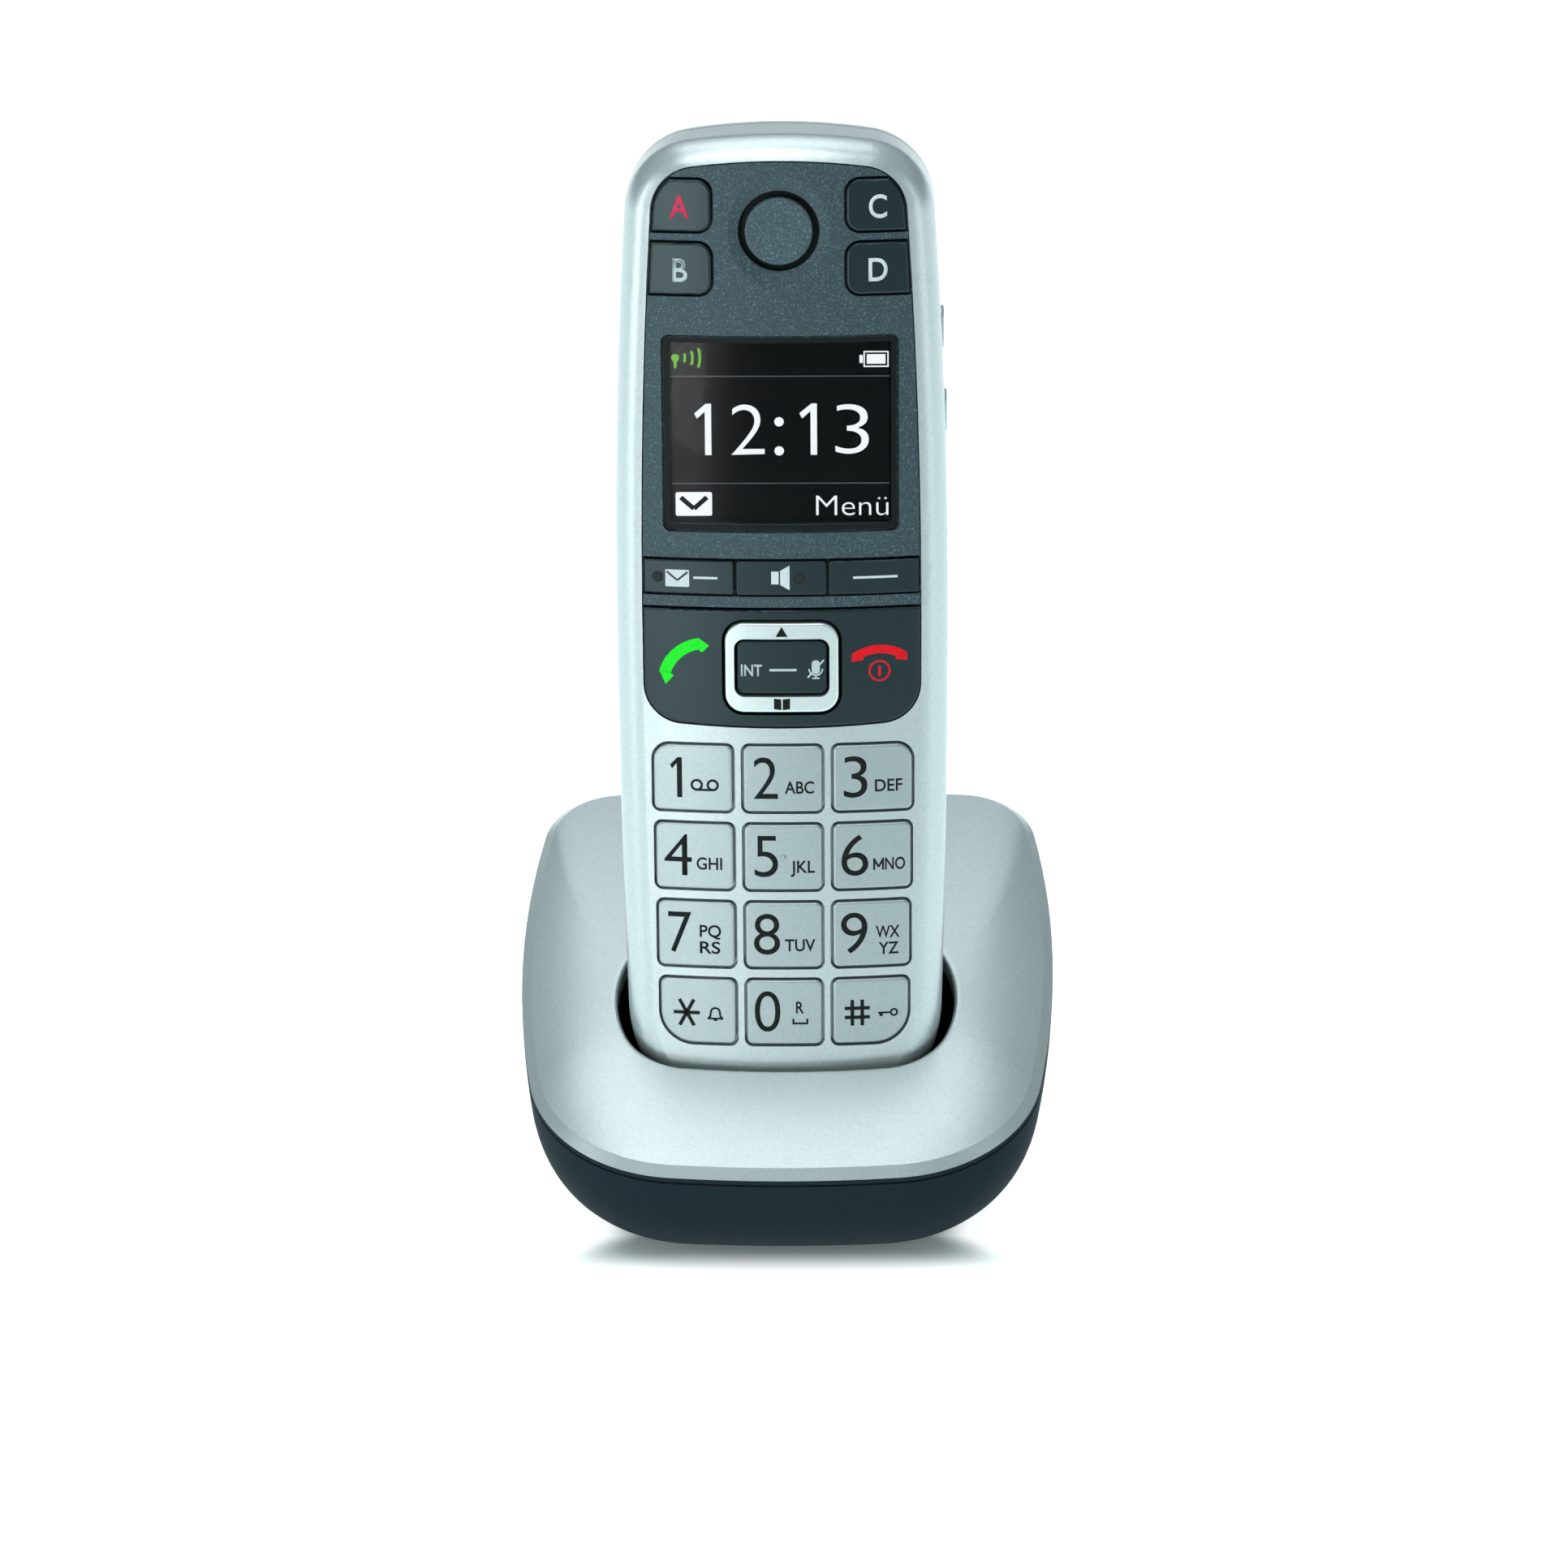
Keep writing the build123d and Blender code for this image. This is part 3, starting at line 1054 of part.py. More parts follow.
def make_base_fittings(inner):
    """Circuit board, sockets, paging key, feet and screws of the base."""
    half = BASE_BOARD_WIDTH / 2
    board_top = BASE_BOARD_HEIGHT + BASE_BOARD_THICKNESS
    board = box_between((-half, -BASE_BOARD_FRONT, BASE_BOARD_HEIGHT), (half, BASE_BOARD_BACK, board_top))
    pieces = {"base_circuit_board": board}
    face = BASE_BOARD_BACK + SOCKET_OVERHANG
    for name, x in (("line_socket", -SOCKET_X), ("power_socket", SOCKET_X)):
        half_w = SOCKET_MOUTH_WIDTH / 2
        low = board_top + (SOCKET_HEIGHT - SOCKET_MOUTH_HEIGHT) / 2
        mouth = box_between((x - half_w, face - SOCKET_MOUTH_DEPTH, low),
                            (x + half_w, face + MARGIN, low + SOCKET_MOUTH_HEIGHT))
        pieces[name] = socket_box(x, 0, face) - mouth
    front = paging_face()
    key = fillet(back_pin(PAGING_RADIUS, front - 2 * BASE_WALL, front).faces().sort_by(Axis.Y)[-1].edges(),
                 KEY_EDGE_ROUND)
    flange = back_pin(PAGING_RADIUS + PAGING_FLANGE, front - MARGIN - BASE_WALL, front)
    pieces["paging_key"] = key + (flange & (Pos(0, -PAGING_GAP, 0) * inner)
                                  - (Pos(0, -PAGING_GAP - PAGING_FLANGE_THICKNESS, 0) * inner))
    feet = Part()
    for x, y in foot_places():
        feet += drilled(x, y, FOOT_RADIUS, 0, BOTTOM_HEIGHT + FOOT_RECESS)
    pieces["base_feet"] = feet
    screws = Part()
    for x, y in base_screw_places():
        seat = BASE_SCREW_SEAT_HEIGHT
        screw = drilled(x, y, BASE_SCREW_HEAD_RADIUS, seat - BASE_SCREW_HEAD, seat)
        screws += screw + drilled(x, y, BASE_SCREW_RADIUS, seat, BASE_SCREW_TIP_HEIGHT)
    pieces["base_screws"] = screws
    pieces["screw_plugs"] = make_screw_plugs()
    return pieces


def make_screw_plugs():
    """Four plugs that close the holes of the base screws flush with the bowl."""
    outer = bowl(0, BOTTOM_HEIGHT)
    top = BASE_SCREW_SEAT_HEIGHT - BASE_SCREW_HEAD - PLUG_HEAD_GAP
    radius = BASE_SCREW_HEAD_RADIUS + HEAD_CLEARANCE - PLUG_GAP
    plugs = Part()
    for x, y in base_screw_places():
        plugs += drilled(x, y, radius, 0, top) & outer
    return plugs


def make_handset():
    """Every piece of the handset, placed in the cradle."""
    outer = handset_body(0)
    inner = handset_body(HANDSET_WALL)
    groove = parting_groove(outer)
    pieces = {
        "handset_front_cover": make_front_cover(outer, inner) - groove,
        "handset_rear_cover": make_rear_cover(outer, inner) - groove,
        "battery_door": make_battery_door(outer),
        "faceplate": make_faceplate(),
    }
    for group in (make_number_keys(), make_direct_keys(), make_function_keys(), make_call_bar(),
                  make_earpiece(), make_display(), make_mat_and_board(), make_side_keys(),
                  make_battery(), make_handset_fittings()):
        pieces.update(group)
    return {name: HANDSET_FRAME * piece for name, piece in pieces.items()}


def make_base():
    """Every piece of the base."""
    shell, inner = make_lower_shell()
    pieces = {
        "base_lower_shell": shell,
        "base_top_cover": make_top_cover(),
        "cradle_well": make_cradle(),
    }
    pieces.update(make_charge_pins())
    pieces.update(make_base_fittings(inner))
    return pieces


def main():
    """Build every piece and write one file for each."""
    os.makedirs("parts", exist_ok=True)
    pieces = make_base()
    pieces.update(make_handset())
    for name, piece in pieces.items():
        export_step(piece, f"parts/{name}.step")
    origin = HANDSET_FRAME.origin
    y, z = door_hinge()
    hinge = HANDSET_FRAME.from_local_coords(Vector(0, y, z))
    bar = HANDSET_FRAME.from_local_coords(Vector(0, RING_MIDDLE, -CALL_BAR_UNDERSIDE))
    print("handset frame", [round(v, 4) for v in origin])
    print("door hinge", [round(v, 4) for v in hinge])
    print("call bar pivot", [round(v, 4) for v in bar])


if __name__ == "__main__":
    main()
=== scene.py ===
import json
import logging
from dataclasses import dataclass, field
from enum import Enum
from functools import cache
from math import atan2, cos, hypot, pi, radians, sin, sqrt
from typing import Iterable

import bmesh
import bpy
from mathutils import Matrix, Vector


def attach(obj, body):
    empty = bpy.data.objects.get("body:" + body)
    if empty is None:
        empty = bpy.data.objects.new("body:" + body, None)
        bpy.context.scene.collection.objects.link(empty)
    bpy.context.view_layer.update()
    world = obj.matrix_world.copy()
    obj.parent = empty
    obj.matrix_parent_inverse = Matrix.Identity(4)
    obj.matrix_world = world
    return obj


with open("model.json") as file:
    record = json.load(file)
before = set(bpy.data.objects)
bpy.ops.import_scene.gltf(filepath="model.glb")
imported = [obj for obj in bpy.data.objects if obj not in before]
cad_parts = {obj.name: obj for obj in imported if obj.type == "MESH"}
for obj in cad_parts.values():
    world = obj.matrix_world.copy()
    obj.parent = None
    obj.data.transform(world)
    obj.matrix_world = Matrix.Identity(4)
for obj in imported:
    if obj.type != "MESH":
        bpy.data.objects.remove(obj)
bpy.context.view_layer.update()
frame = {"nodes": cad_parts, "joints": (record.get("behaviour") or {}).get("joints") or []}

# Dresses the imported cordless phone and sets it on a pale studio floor. Sizes are in millimetres in
# the handset's own frame (x right, y along its length, z out of the front) and become metres in the mesh.

MM = 0.001
log = logging.getLogger("phone")

Colour = tuple[float, float, float]
Point = tuple[float, float]
Socket = bpy.types.NodeSocket
Tree = bpy.types.NodeTree


class Level(Enum):
    """Surfaces that carry printed marks, each with its height over the crowned front."""

    NUMBER_KEY = 0.3
    PANEL_KEY = 0.25
    CALL_BAR = 0.12
    RING = 0.5
    CENTRE_KEY = 0.2
    WINDOW = -0.4
    # Height of the black ring of painted shade in the earpiece groove.
    EAR_GROOVE_SHADE = -2.2
    SCREEN = -2.75


# Node groups shared by the finishes.


def new_group(name: str, inputs: dict[str, float], outputs: Iterable[str]) -> Tree:
    """Make an empty shader group with a Vector input and value sockets.

    Args:
        name: name of the group.
        inputs: name and default of each value input.
        outputs: names of the value outputs.

    Returns:
        The group's node tree, with its two end nodes in place.
    """
    tree = bpy.data.node_groups.new(name, "ShaderNodeTree")
    tree.interface.new_socket("Vector", in_out="INPUT", socket_type="NodeSocketVector")
    for label, default in inputs.items():
        socket = tree.interface.new_socket(label, in_out="INPUT", socket_type="NodeSocketFloat")
        socket.default_value = default
    for label in outputs:
        tree.interface.new_socket(label, in_out="OUTPUT", socket_type="NodeSocketFloat")
    tree.nodes.new("NodeGroupInput").name = "In"
    tree.nodes.new("NodeGroupOutput").name = "Out"
    return tree


def flake_group() -> Tree:
    """Fine metal flakes: a random tone for each flake and a slow cloud over the whole paint.

    Returns:
        The group's node tree.
    """
    tree = new_group("Flakes", {"Scale": 4000.0}, ("Tone", "Cloud"))
    start, end = tree.nodes["In"], tree.nodes["Out"]
    cells = tree.nodes.new("ShaderNodeTexVoronoi")
    split = tree.nodes.new("ShaderNodeSeparateColor")
    cloud = tree.nodes.new("ShaderNodeTexNoise")
    cloud.inputs["Scale"].default_value = 160.0
    cloud.inputs["Detail"].default_value = 3.0
    tree.links.new(start.outputs["Vector"], cells.inputs["Vector"])
    tree.links.new(start.outputs["Scale"], cells.inputs["Scale"])
    tree.links.new(start.outputs["Vector"], cloud.inputs["Vector"])
    tree.links.new(cells.outputs["Color"], split.inputs["Color"])
    tree.links.new(split.outputs["Red"], end.inputs["Tone"])
    tree.links.new(cloud.outputs["Fac"], end.inputs["Cloud"])
    return tree


def grain_group() -> Tree:
    """Spark-eroded mould texture: rounded pits of two sizes as a height, and a mask of the grain's crests
    that carries a painted glint.

    Returns:
        The group's node tree.
    """
    tree = new_group("Mould grain", {"Scale": 2500.0}, ("Height", "Painted glint mask"))
    start, end = tree.nodes["In"], tree.nodes["Out"]
    pits = tree.nodes.new("ShaderNodeTexNoise")
    pits.inputs["Detail"].default_value = 2.0
    pits.inputs["Roughness"].default_value = 0.65
    ramp = tree.nodes.new("ShaderNodeValToRGB")
    ramp.color_ramp.elements[0].position = 0.52
    ramp.color_ramp.elements[1].position = 0.72
    tree.links.new(start.outputs["Vector"], pits.inputs["Vector"])
    tree.links.new(start.outputs["Scale"], pits.inputs["Scale"])
    tree.links.new(pits.outputs["Fac"], end.inputs["Height"])
    tree.links.new(pits.outputs["Fac"], ramp.inputs["Fac"])
    tree.links.new(ramp.outputs["Color"], end.inputs["Painted glint mask"])
    return tree


def dust_group() -> Tree:
    """Slow unevenness of a moulded or printed surface.

    Returns:
        The group's node tree.
    """
    tree = new_group("Unevenness", {"Scale": 300.0}, ("Amount",))
    start, end = tree.nodes["In"], tree.nodes["Out"]
    noise = tree.nodes.new("ShaderNodeTexNoise")
    noise.inputs["Detail"].default_value = 4.0
    tree.links.new(start.outputs["Vector"], noise.inputs["Vector"])
    tree.links.new(start.outputs["Scale"], noise.inputs["Scale"])
    tree.links.new(noise.outputs["Fac"], end.inputs["Amount"])
    return tree


GROUPS: dict[str, Tree] = {
    "flakes": flake_group(),
    "grain": grain_group(),
    "dust": dust_group(),
}


class Recipe:
    """A material under construction, with short calls for its nodes and links."""

    def __init__(self, name: str) -> None:
        """Start an empty material with a Principled shader and object coordinates.

        Args:
            name: name of the material.
        """
        self.material = bpy.data.materials.new(name)
        self.material.use_nodes = True
        self.tree = self.material.node_tree
        self.shader = self.tree.nodes["Principled BSDF"]
        self.place = self.tree.nodes.new("ShaderNodeTexCoord").outputs["Object"]

    def link(self, source: Socket, target: Socket) -> None:
        """Connect two sockets."""
        self.tree.links.new(source, target)

    def feed(self, label: str, source: Socket) -> None:
        """Connect a socket to one of the shader's inputs."""
        self.link(source, self.shader.inputs[label])

    def node(self, kind: str, operation: str = "") -> bpy.types.Node:
        """New shader node, with its operation if it has one.

        Args:
            kind: end of the node type's name.
            operation: the operation of a math node.

        Returns:
            The node.
        """
        made = self.tree.nodes.new(f"ShaderNode{kind}")
        if operation:
            made.operation = operation
        return made

    def group(self, key: str, scale: float) -> bpy.types.Node:
        """Place a shared group at its own scale.

        Args:
            key: name in GROUPS.
            scale: scale of its texture.

        Returns:
            The group node.
        """
        node = self.node("Group")
        node.node_tree = GROUPS[key]
        node.inputs["Scale"].default_value = scale
        self.link(self.place, node.inputs["Vector"])
        return node

    def tones(self, mask: Socket, low: Colour, high: Colour) -> Socket:
        """Colour that runs from low to high with a mask.

        Args:
            mask: value from 0 to 1.
            low: colour at 0.
            high: colour at 1.

        Returns:
            The colour socket.
        """
        mix = self.node("Mix")
        mix.data_type = "RGBA"
        mix.inputs[6].default_value = (*low, 1.0)
        mix.inputs[7].default_value = (*high, 1.0)
        self.link(mask, mix.inputs[0])
        return mix.outputs[2]

    def span(self, mask: Socket, low: float, high: float) -> Socket:
        """Value that runs from low to high with a mask.

        Args:
            mask: value from 0 to 1.
            low: result at 0.
            high: result at 1.

        Returns:
            The value socket.
        """
        node = self.node("MapRange")
        node.inputs["To Min"].default_value = low
        node.inputs["To Max"].default_value = high
        self.link(mask, node.inputs["Value"])
        return node.outputs["Result"]

    def bump(self, height: Socket, depth: float, strength: float) -> None:
        """Raise the surface by a height, with its depth in millimetres.

        Args:
            height: value from 0 to 1.
            depth: its height in millimetres.
            strength: share of the effect.
        """
        node = self.node("Bump")
        node.inputs["Strength"].default_value = strength
        node.inputs["Distance"].default_value = depth * MM
        self.link(height, node.inputs["Height"])
        self.link(node.outputs["Normal"], self.shader.inputs["Normal"])

    def set(self, **values: float | tuple[float, ...]) -> None:
        """Set plain values on the shader, with underscores for the blanks in socket names."""
        for label, value in values.items():
            self.shader.inputs[label.replace("_", " ")].default_value = value


def shade(colour: Colour, factor: float) -> Colour:
    """A colour made darker or lighter by a factor."""
    return tuple(min(1.0, channel * factor) for channel in colour)


@dataclass(frozen=True)
class Finish:
    """One finish of the phone, at its plainest a slightly uneven surface."""

    name: str
    colour: Colour
    roughness: float = 0.5
    specular: float = 0.5
    unevenness: float = 0.1
    gleam: Colour = (1.0, 1.0, 1.0)
    dust_scale: float = 900.0
    sheen: float = 0.05

    @cache
    def material(self) -> bpy.types.Material:
        """The finish as a material, made once.

        Returns:
            The material.
        """
        recipe = Recipe(self.name)
        recipe.set(Specular_IOR_Level=self.specular, Specular_Tint=(*self.gleam, 1.0))
        self.fill(recipe)
        return recipe.material

    def fill(self, recipe: Recipe) -> None:
        """Give the material its tones and gloss.

        Args:
            recipe: the material under construction.
        """
        dust = recipe.group("dust", self.dust_scale).outputs["Amount"]
        low, high = shade(self.colour, 1.0 - self.unevenness), shade(self.colour, 1.0 + self.unevenness)
        recipe.feed("Base Color", recipe.tones(dust, low, high))
        recipe.feed("Roughness", recipe.span(dust, self.roughness - self.sheen, self.roughness + self.sheen))


@dataclass(frozen=True)
class PaintFinish(Finish):
    """Metallic paint with fine flakes."""

    metallic: float = 0.75
    flake_scale: float = 5200.0
    contrast: float = 0.07
    flake_depth: float = 0.02
    flake_strength: float = 0.15
    cloud: float = 0.02

    def fill(self, recipe: Recipe) -> None:
        """Give every flake a tone and a tilt of its own.

        Args:
            recipe: the material under construction.
        """
        flakes = recipe.group("flakes", self.flake_scale)
        low, high = shade(self.colour, 1.0 - self.contrast), shade(self.colour, 1.0 + self.contrast)
        recipe.feed("Base Color", recipe.tones(flakes.outputs["Tone"], low, high))
        gloss = recipe.span(flakes.outputs["Cloud"], self.roughness - self.cloud,
                            self.roughness + self.cloud)
        recipe.feed("Roughness", gloss)
        recipe.bump(flakes.outputs["Tone"], self.flake_depth, self.flake_strength)
        recipe.set(Metallic=self.metallic)


@dataclass(frozen=True)
class MouldedFinish(Finish):
    """Moulded plastic with a spark-eroded grain, with a painted glint that lightens the grain's crests."""

    grain_scale: float = 2600.0
    grain_depth: float = 0.04
    # Factor that lightens the grain's crests: painted glint.
    painted_glint: float = 1.5
    grain_strength: float = 0.5

    def fill(self, recipe: Recipe) -> None:
        """Sink the pits of the grain and paint its crests lighter as a painted glint.

        Args:
            recipe: the material under construction.
        """
        grain = recipe.group("grain", self.grain_scale)
        # Painted glint: the grain's crests get a lighter colour.
        light = shade(self.colour, self.painted_glint)
        recipe.feed("Base Color", recipe.tones(grain.outputs["Painted glint mask"], self.colour, light))
        gloss = recipe.span(grain.outputs["Height"], self.roughness - self.sheen,
                            self.roughness + 2 * self.sheen)
        recipe.feed("Roughness", gloss)
        recipe.bump(grain.outputs["Height"], self.grain_depth, self.grain_strength)


@dataclass(frozen=True)
class GlowFinish(Finish):
    """Lit picture elements of the display."""

    dust_scale: float = 400.0
    dimmest: float = 0.94

    def fill(self, recipe: Recipe) -> None:
        """Let the surface glow with the faint unevenness of a backlight.

        Args:
            recipe: the material under construction.
        """
        dust = recipe.group("dust", self.dust_scale).outputs["Amount"]
        recipe.feed("Emission Color", recipe.tones(dust, shade(self.colour, self.dimmest), self.colour))
        recipe.set(Emission_Strength=1.0, Specular_IOR_Level=0.0)
        recipe.shader.inputs["Base Color"].default_value = (0.0, 0.0, 0.0, 1.0)


@dataclass(frozen=True)
class GlassFinish(Finish):
    """Clear window under a hard anti-glare coat."""

    index: float = 1.05
    coat: float = 0.14
    coat_roughness: float = 0.2
    dust_scale: float = 500.0
    sheen: float = 0.01

    def fill(self, recipe: Recipe) -> None:
        """Make clear glass with a trace of unevenness in its polish.

        Args:
            recipe: the material under construction.
        """
        dust = recipe.group("dust", self.dust_scale).outputs["Amount"]
        recipe.feed("Roughness", recipe.span(dust, self.roughness, self.roughness + self.sheen))
        recipe.shader.inputs["Base Color"].default_value = (*self.colour, 1.0)
        recipe.set(Transmission_Weight=1.0, IOR=self.index, Coat_Weight=self.coat,
                   Coat_Roughness=self.coat_roughness)


@dataclass(frozen=True)
class MetalFinish(Finish):
    """Plated or zinc-coated metal."""

    dust_scale: float = 2500.0
    sheen: float = 0.15
    dimmest: float = 0.85

    def fill(self, recipe: Recipe) -> None:
        """Show bare metal with uneven polish.

        Args:
            recipe: the material under construction.
        """
        dust = recipe.group("dust", self.dust_scale).outputs["Amount"]
        recipe.feed("Base Color", recipe.tones(dust, shade(self.colour, self.dimmest), self.colour))
        recipe.feed("Roughness", recipe.span(dust, self.roughness, self.roughness + self.sheen))
        recipe.set(Metallic=1.0)


COOL = (0.72, 0.96, 1.0)
SILVER = PaintFinish("satin_silver", (0.475, 0.545, 0.552), 0.34)
SILVER_KEYS = PaintFinish("satin_silver_keys", (0.36, 0.425, 0.433), 0.36)
SILVER_BRIGHT = PaintFinish("bright_silver", (0.68, 0.77, 0.77), 0.24, contrast=0.03, metallic=0.7)
SLATE_GRAIN = MouldedFinish("slate_grain", (0.032, 0.052, 0.061), 0.45, 0.42, gleam=COOL, grain_scale=3400.0,
                            grain_depth=0.06, painted_glint=3.4)
# Glossier copy of the slate grain for the earpiece disc, with a lighter colour that is painted highlight.
SLATE_DISC_PAINTED_HIGHLIGHT = MouldedFinish("slate_disc_painted_highlight", (0.041, 0.065, 0.077), 0.42, 0.5, gleam=COOL, grain_scale=3400.0,
                           grain_depth=0.06, painted_glint=3.4)
SLATE_KEYS = MouldedFinish("slate_keys", (0.003, 0.010, 0.013), 0.30, 0.47, gleam=COOL, grain_scale=5000.0,
                           grain_depth=0.008, painted_glint=1.15)
SLATE_BOWL = MouldedFinish("slate_bowl", (0.016, 0.027, 0.034), 0.6, 0.03, gleam=COOL, grain_scale=3600.0,
                           grain_depth=0.015, painted_glint=1.3)
BLACK = MouldedFinish("moulded_black", (0.006, 0.006, 0.007), 0.5, 0.3, grain_scale=3000.0, grain_depth=0.02,
                      painted_glint=1.3)
RUBBER = MouldedFinish("rubber", (0.03, 0.03, 0.031), 0.8, grain_scale=2000.0, grain_depth=0.05, painted_glint=1.4)
BOARD = MouldedFinish("board_laminate", (0.02, 0.14, 0.05), 0.4, grain_scale=1200.0, grain_depth=0.02,
                      painted_glint=1.3)
SLEEVE = MouldedFinish("cell_sleeve", (0.10, 0.26, 0.12), 0.3, grain_scale=900.0, grain_depth=0.01, painted_glint=1.1)
GOLD = MetalFinish("gold_contact", (0.80, 0.60, 0.30), 0.22)
ZINC = MetalFinish("zinc_screw", (0.55, 0.55, 0.54), 0.3)
WINDOW = GlassFinish("clear_window", (0.96, 0.98, 1.0), 0.0)
LENS = Finish("smoked_lens", (0.012, 0.014, 0.016), 0.15)
SCREEN = Finish("screen_black", (0.001, 0.0015, 0.0018), 0.6, 0.0)
INK_BLACK = Finish("ink_black", (0.004, 0.006, 0.007), 0.5, 0.15)
INK_WHITE = Finish("ink_white", (0.66, 0.74, 0.76), 0.5, 0.2)
INK_PALE = Finish("ink_pale", (0.54, 0.64, 0.66), 0.5, 0.2)
INK_PINK = Finish("ink_pink", (0.70, 0.03, 0.10), 0.5, 0.2)
INK_GREEN = Finish("ink_green", (0.01, 0.86, 0.02), 0.5, 0.2)
INK_RED = Finish("ink_red", (0.80, 0.006, 0.015), 0.5, 0.2)
GLOW_WHITE = GlowFinish("glow_white", (0.96, 1.0, 1.0))
GLOW_GREEN = GlowFinish("glow_green", (0.16, 0.50, 0.03))
GLOW_GREY = GlowFinish("glow_grey", (0.10, 0.13, 0.13))


@dataclass(frozen=True)
class HandsetFrame:
    """Place of the handset in the row's frame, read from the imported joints."""

    crown_radius: float = 100.0
    bar_height: float = 76.05
    bar_depth: float = 1.6

    def joint(self, name: str) -> dict:
        """One packed joint by name."""
        return next(j for j in frame["joints"] if j["name"] == name)

    @property
    def up(self) -> Vector:
        """Direction along the handset's length."""
        return Vector(self.joint("handset_lift")["axis"]).normalized()

    @property
    def out(self) -> Vector:
        """Direction out of the handset's front."""
        return Vector((1.0, 0.0, 0.0)).cross(self.up)

    @property
    def origin(self) -> Vector:
        """Bottom end of the front's highest line, in metres."""
        pivot = Vector(self.joint("call_bar_rock")["pos_m"])
        return pivot - self.up * (self.bar_height * MM) + self.out * (self.bar_depth * MM)

    def matrix(self) -> Matrix:
        """Transform from handset millimetres to the row's metres."""
        turn = Matrix((Vector((1.0, 0.0, 0.0)), self.up, self.out)).transposed().to_4x4()
        return Matrix.Translation(self.origin) @ turn @ Matrix.Scale(MM, 4)

    def sag(self, x: float) -> float:
        """Drop of the crowned front beside its middle line."""
        return self.crown_radius - sqrt(self.crown_radius**2 - x * x)


HANDSET = HandsetFrame()


def publish(mesh: bmesh.types.BMesh, name: str, body: str, finish: Finish) -> bpy.types.Object:
    """Turn a finished bmesh in metres into a piece that rides on a body.

    Args:
        mesh: the piece's geometry, freed afterwards.
        name: name of the piece.
        body: CAD body that it moves with.
        finish: its finish.

    Returns:
        The new object.
    """
    bmesh.ops.recalc_face_normals(mesh, faces=mesh.faces[:])
    data = bpy.data.meshes.new(name)
    mesh.to_mesh(data)
    mesh.free()
    data.materials.append(finish.material())
    piece = bpy.data.objects.new(name, data)
    bpy.context.scene.collection.objects.link(piece)
    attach(piece, body)
    log.info("%s rides on %s", name, body)
    return piece


def flat_text(text: str, weight: float = 0.0) -> bpy.types.Mesh:
    """Letters of the built-in font as a flat mesh.

    Args:
        text: what is written.
        weight: how far the strokes are widened, in the font's own units.

    Returns:
        The mesh, in the font's own units.
    """
    curve = bpy.data.curves.new(text, "FONT")
    curve.body = text
    curve.resolution_u = 6
    curve.offset = weight
    holder = bpy.data.objects.new(text, curve)
    flat = bpy.data.meshes.new_from_object(holder)
    bpy.data.objects.remove(holder)
    bpy.data.curves.remove(curve)
    return flat


def spread(values: Iterable[float]) -> tuple[float, float]:
    """Lowest of some values, and the distance from there to the highest."""
    found = list(values)
    return min(found), max(found) - min(found)


@cache
def ink_height(text: str) -> tuple[float, float]:
    """Lowest point and height of some letters in the built-in font."""
    return spread(v.co.y for v in flat_text(text).vertices)


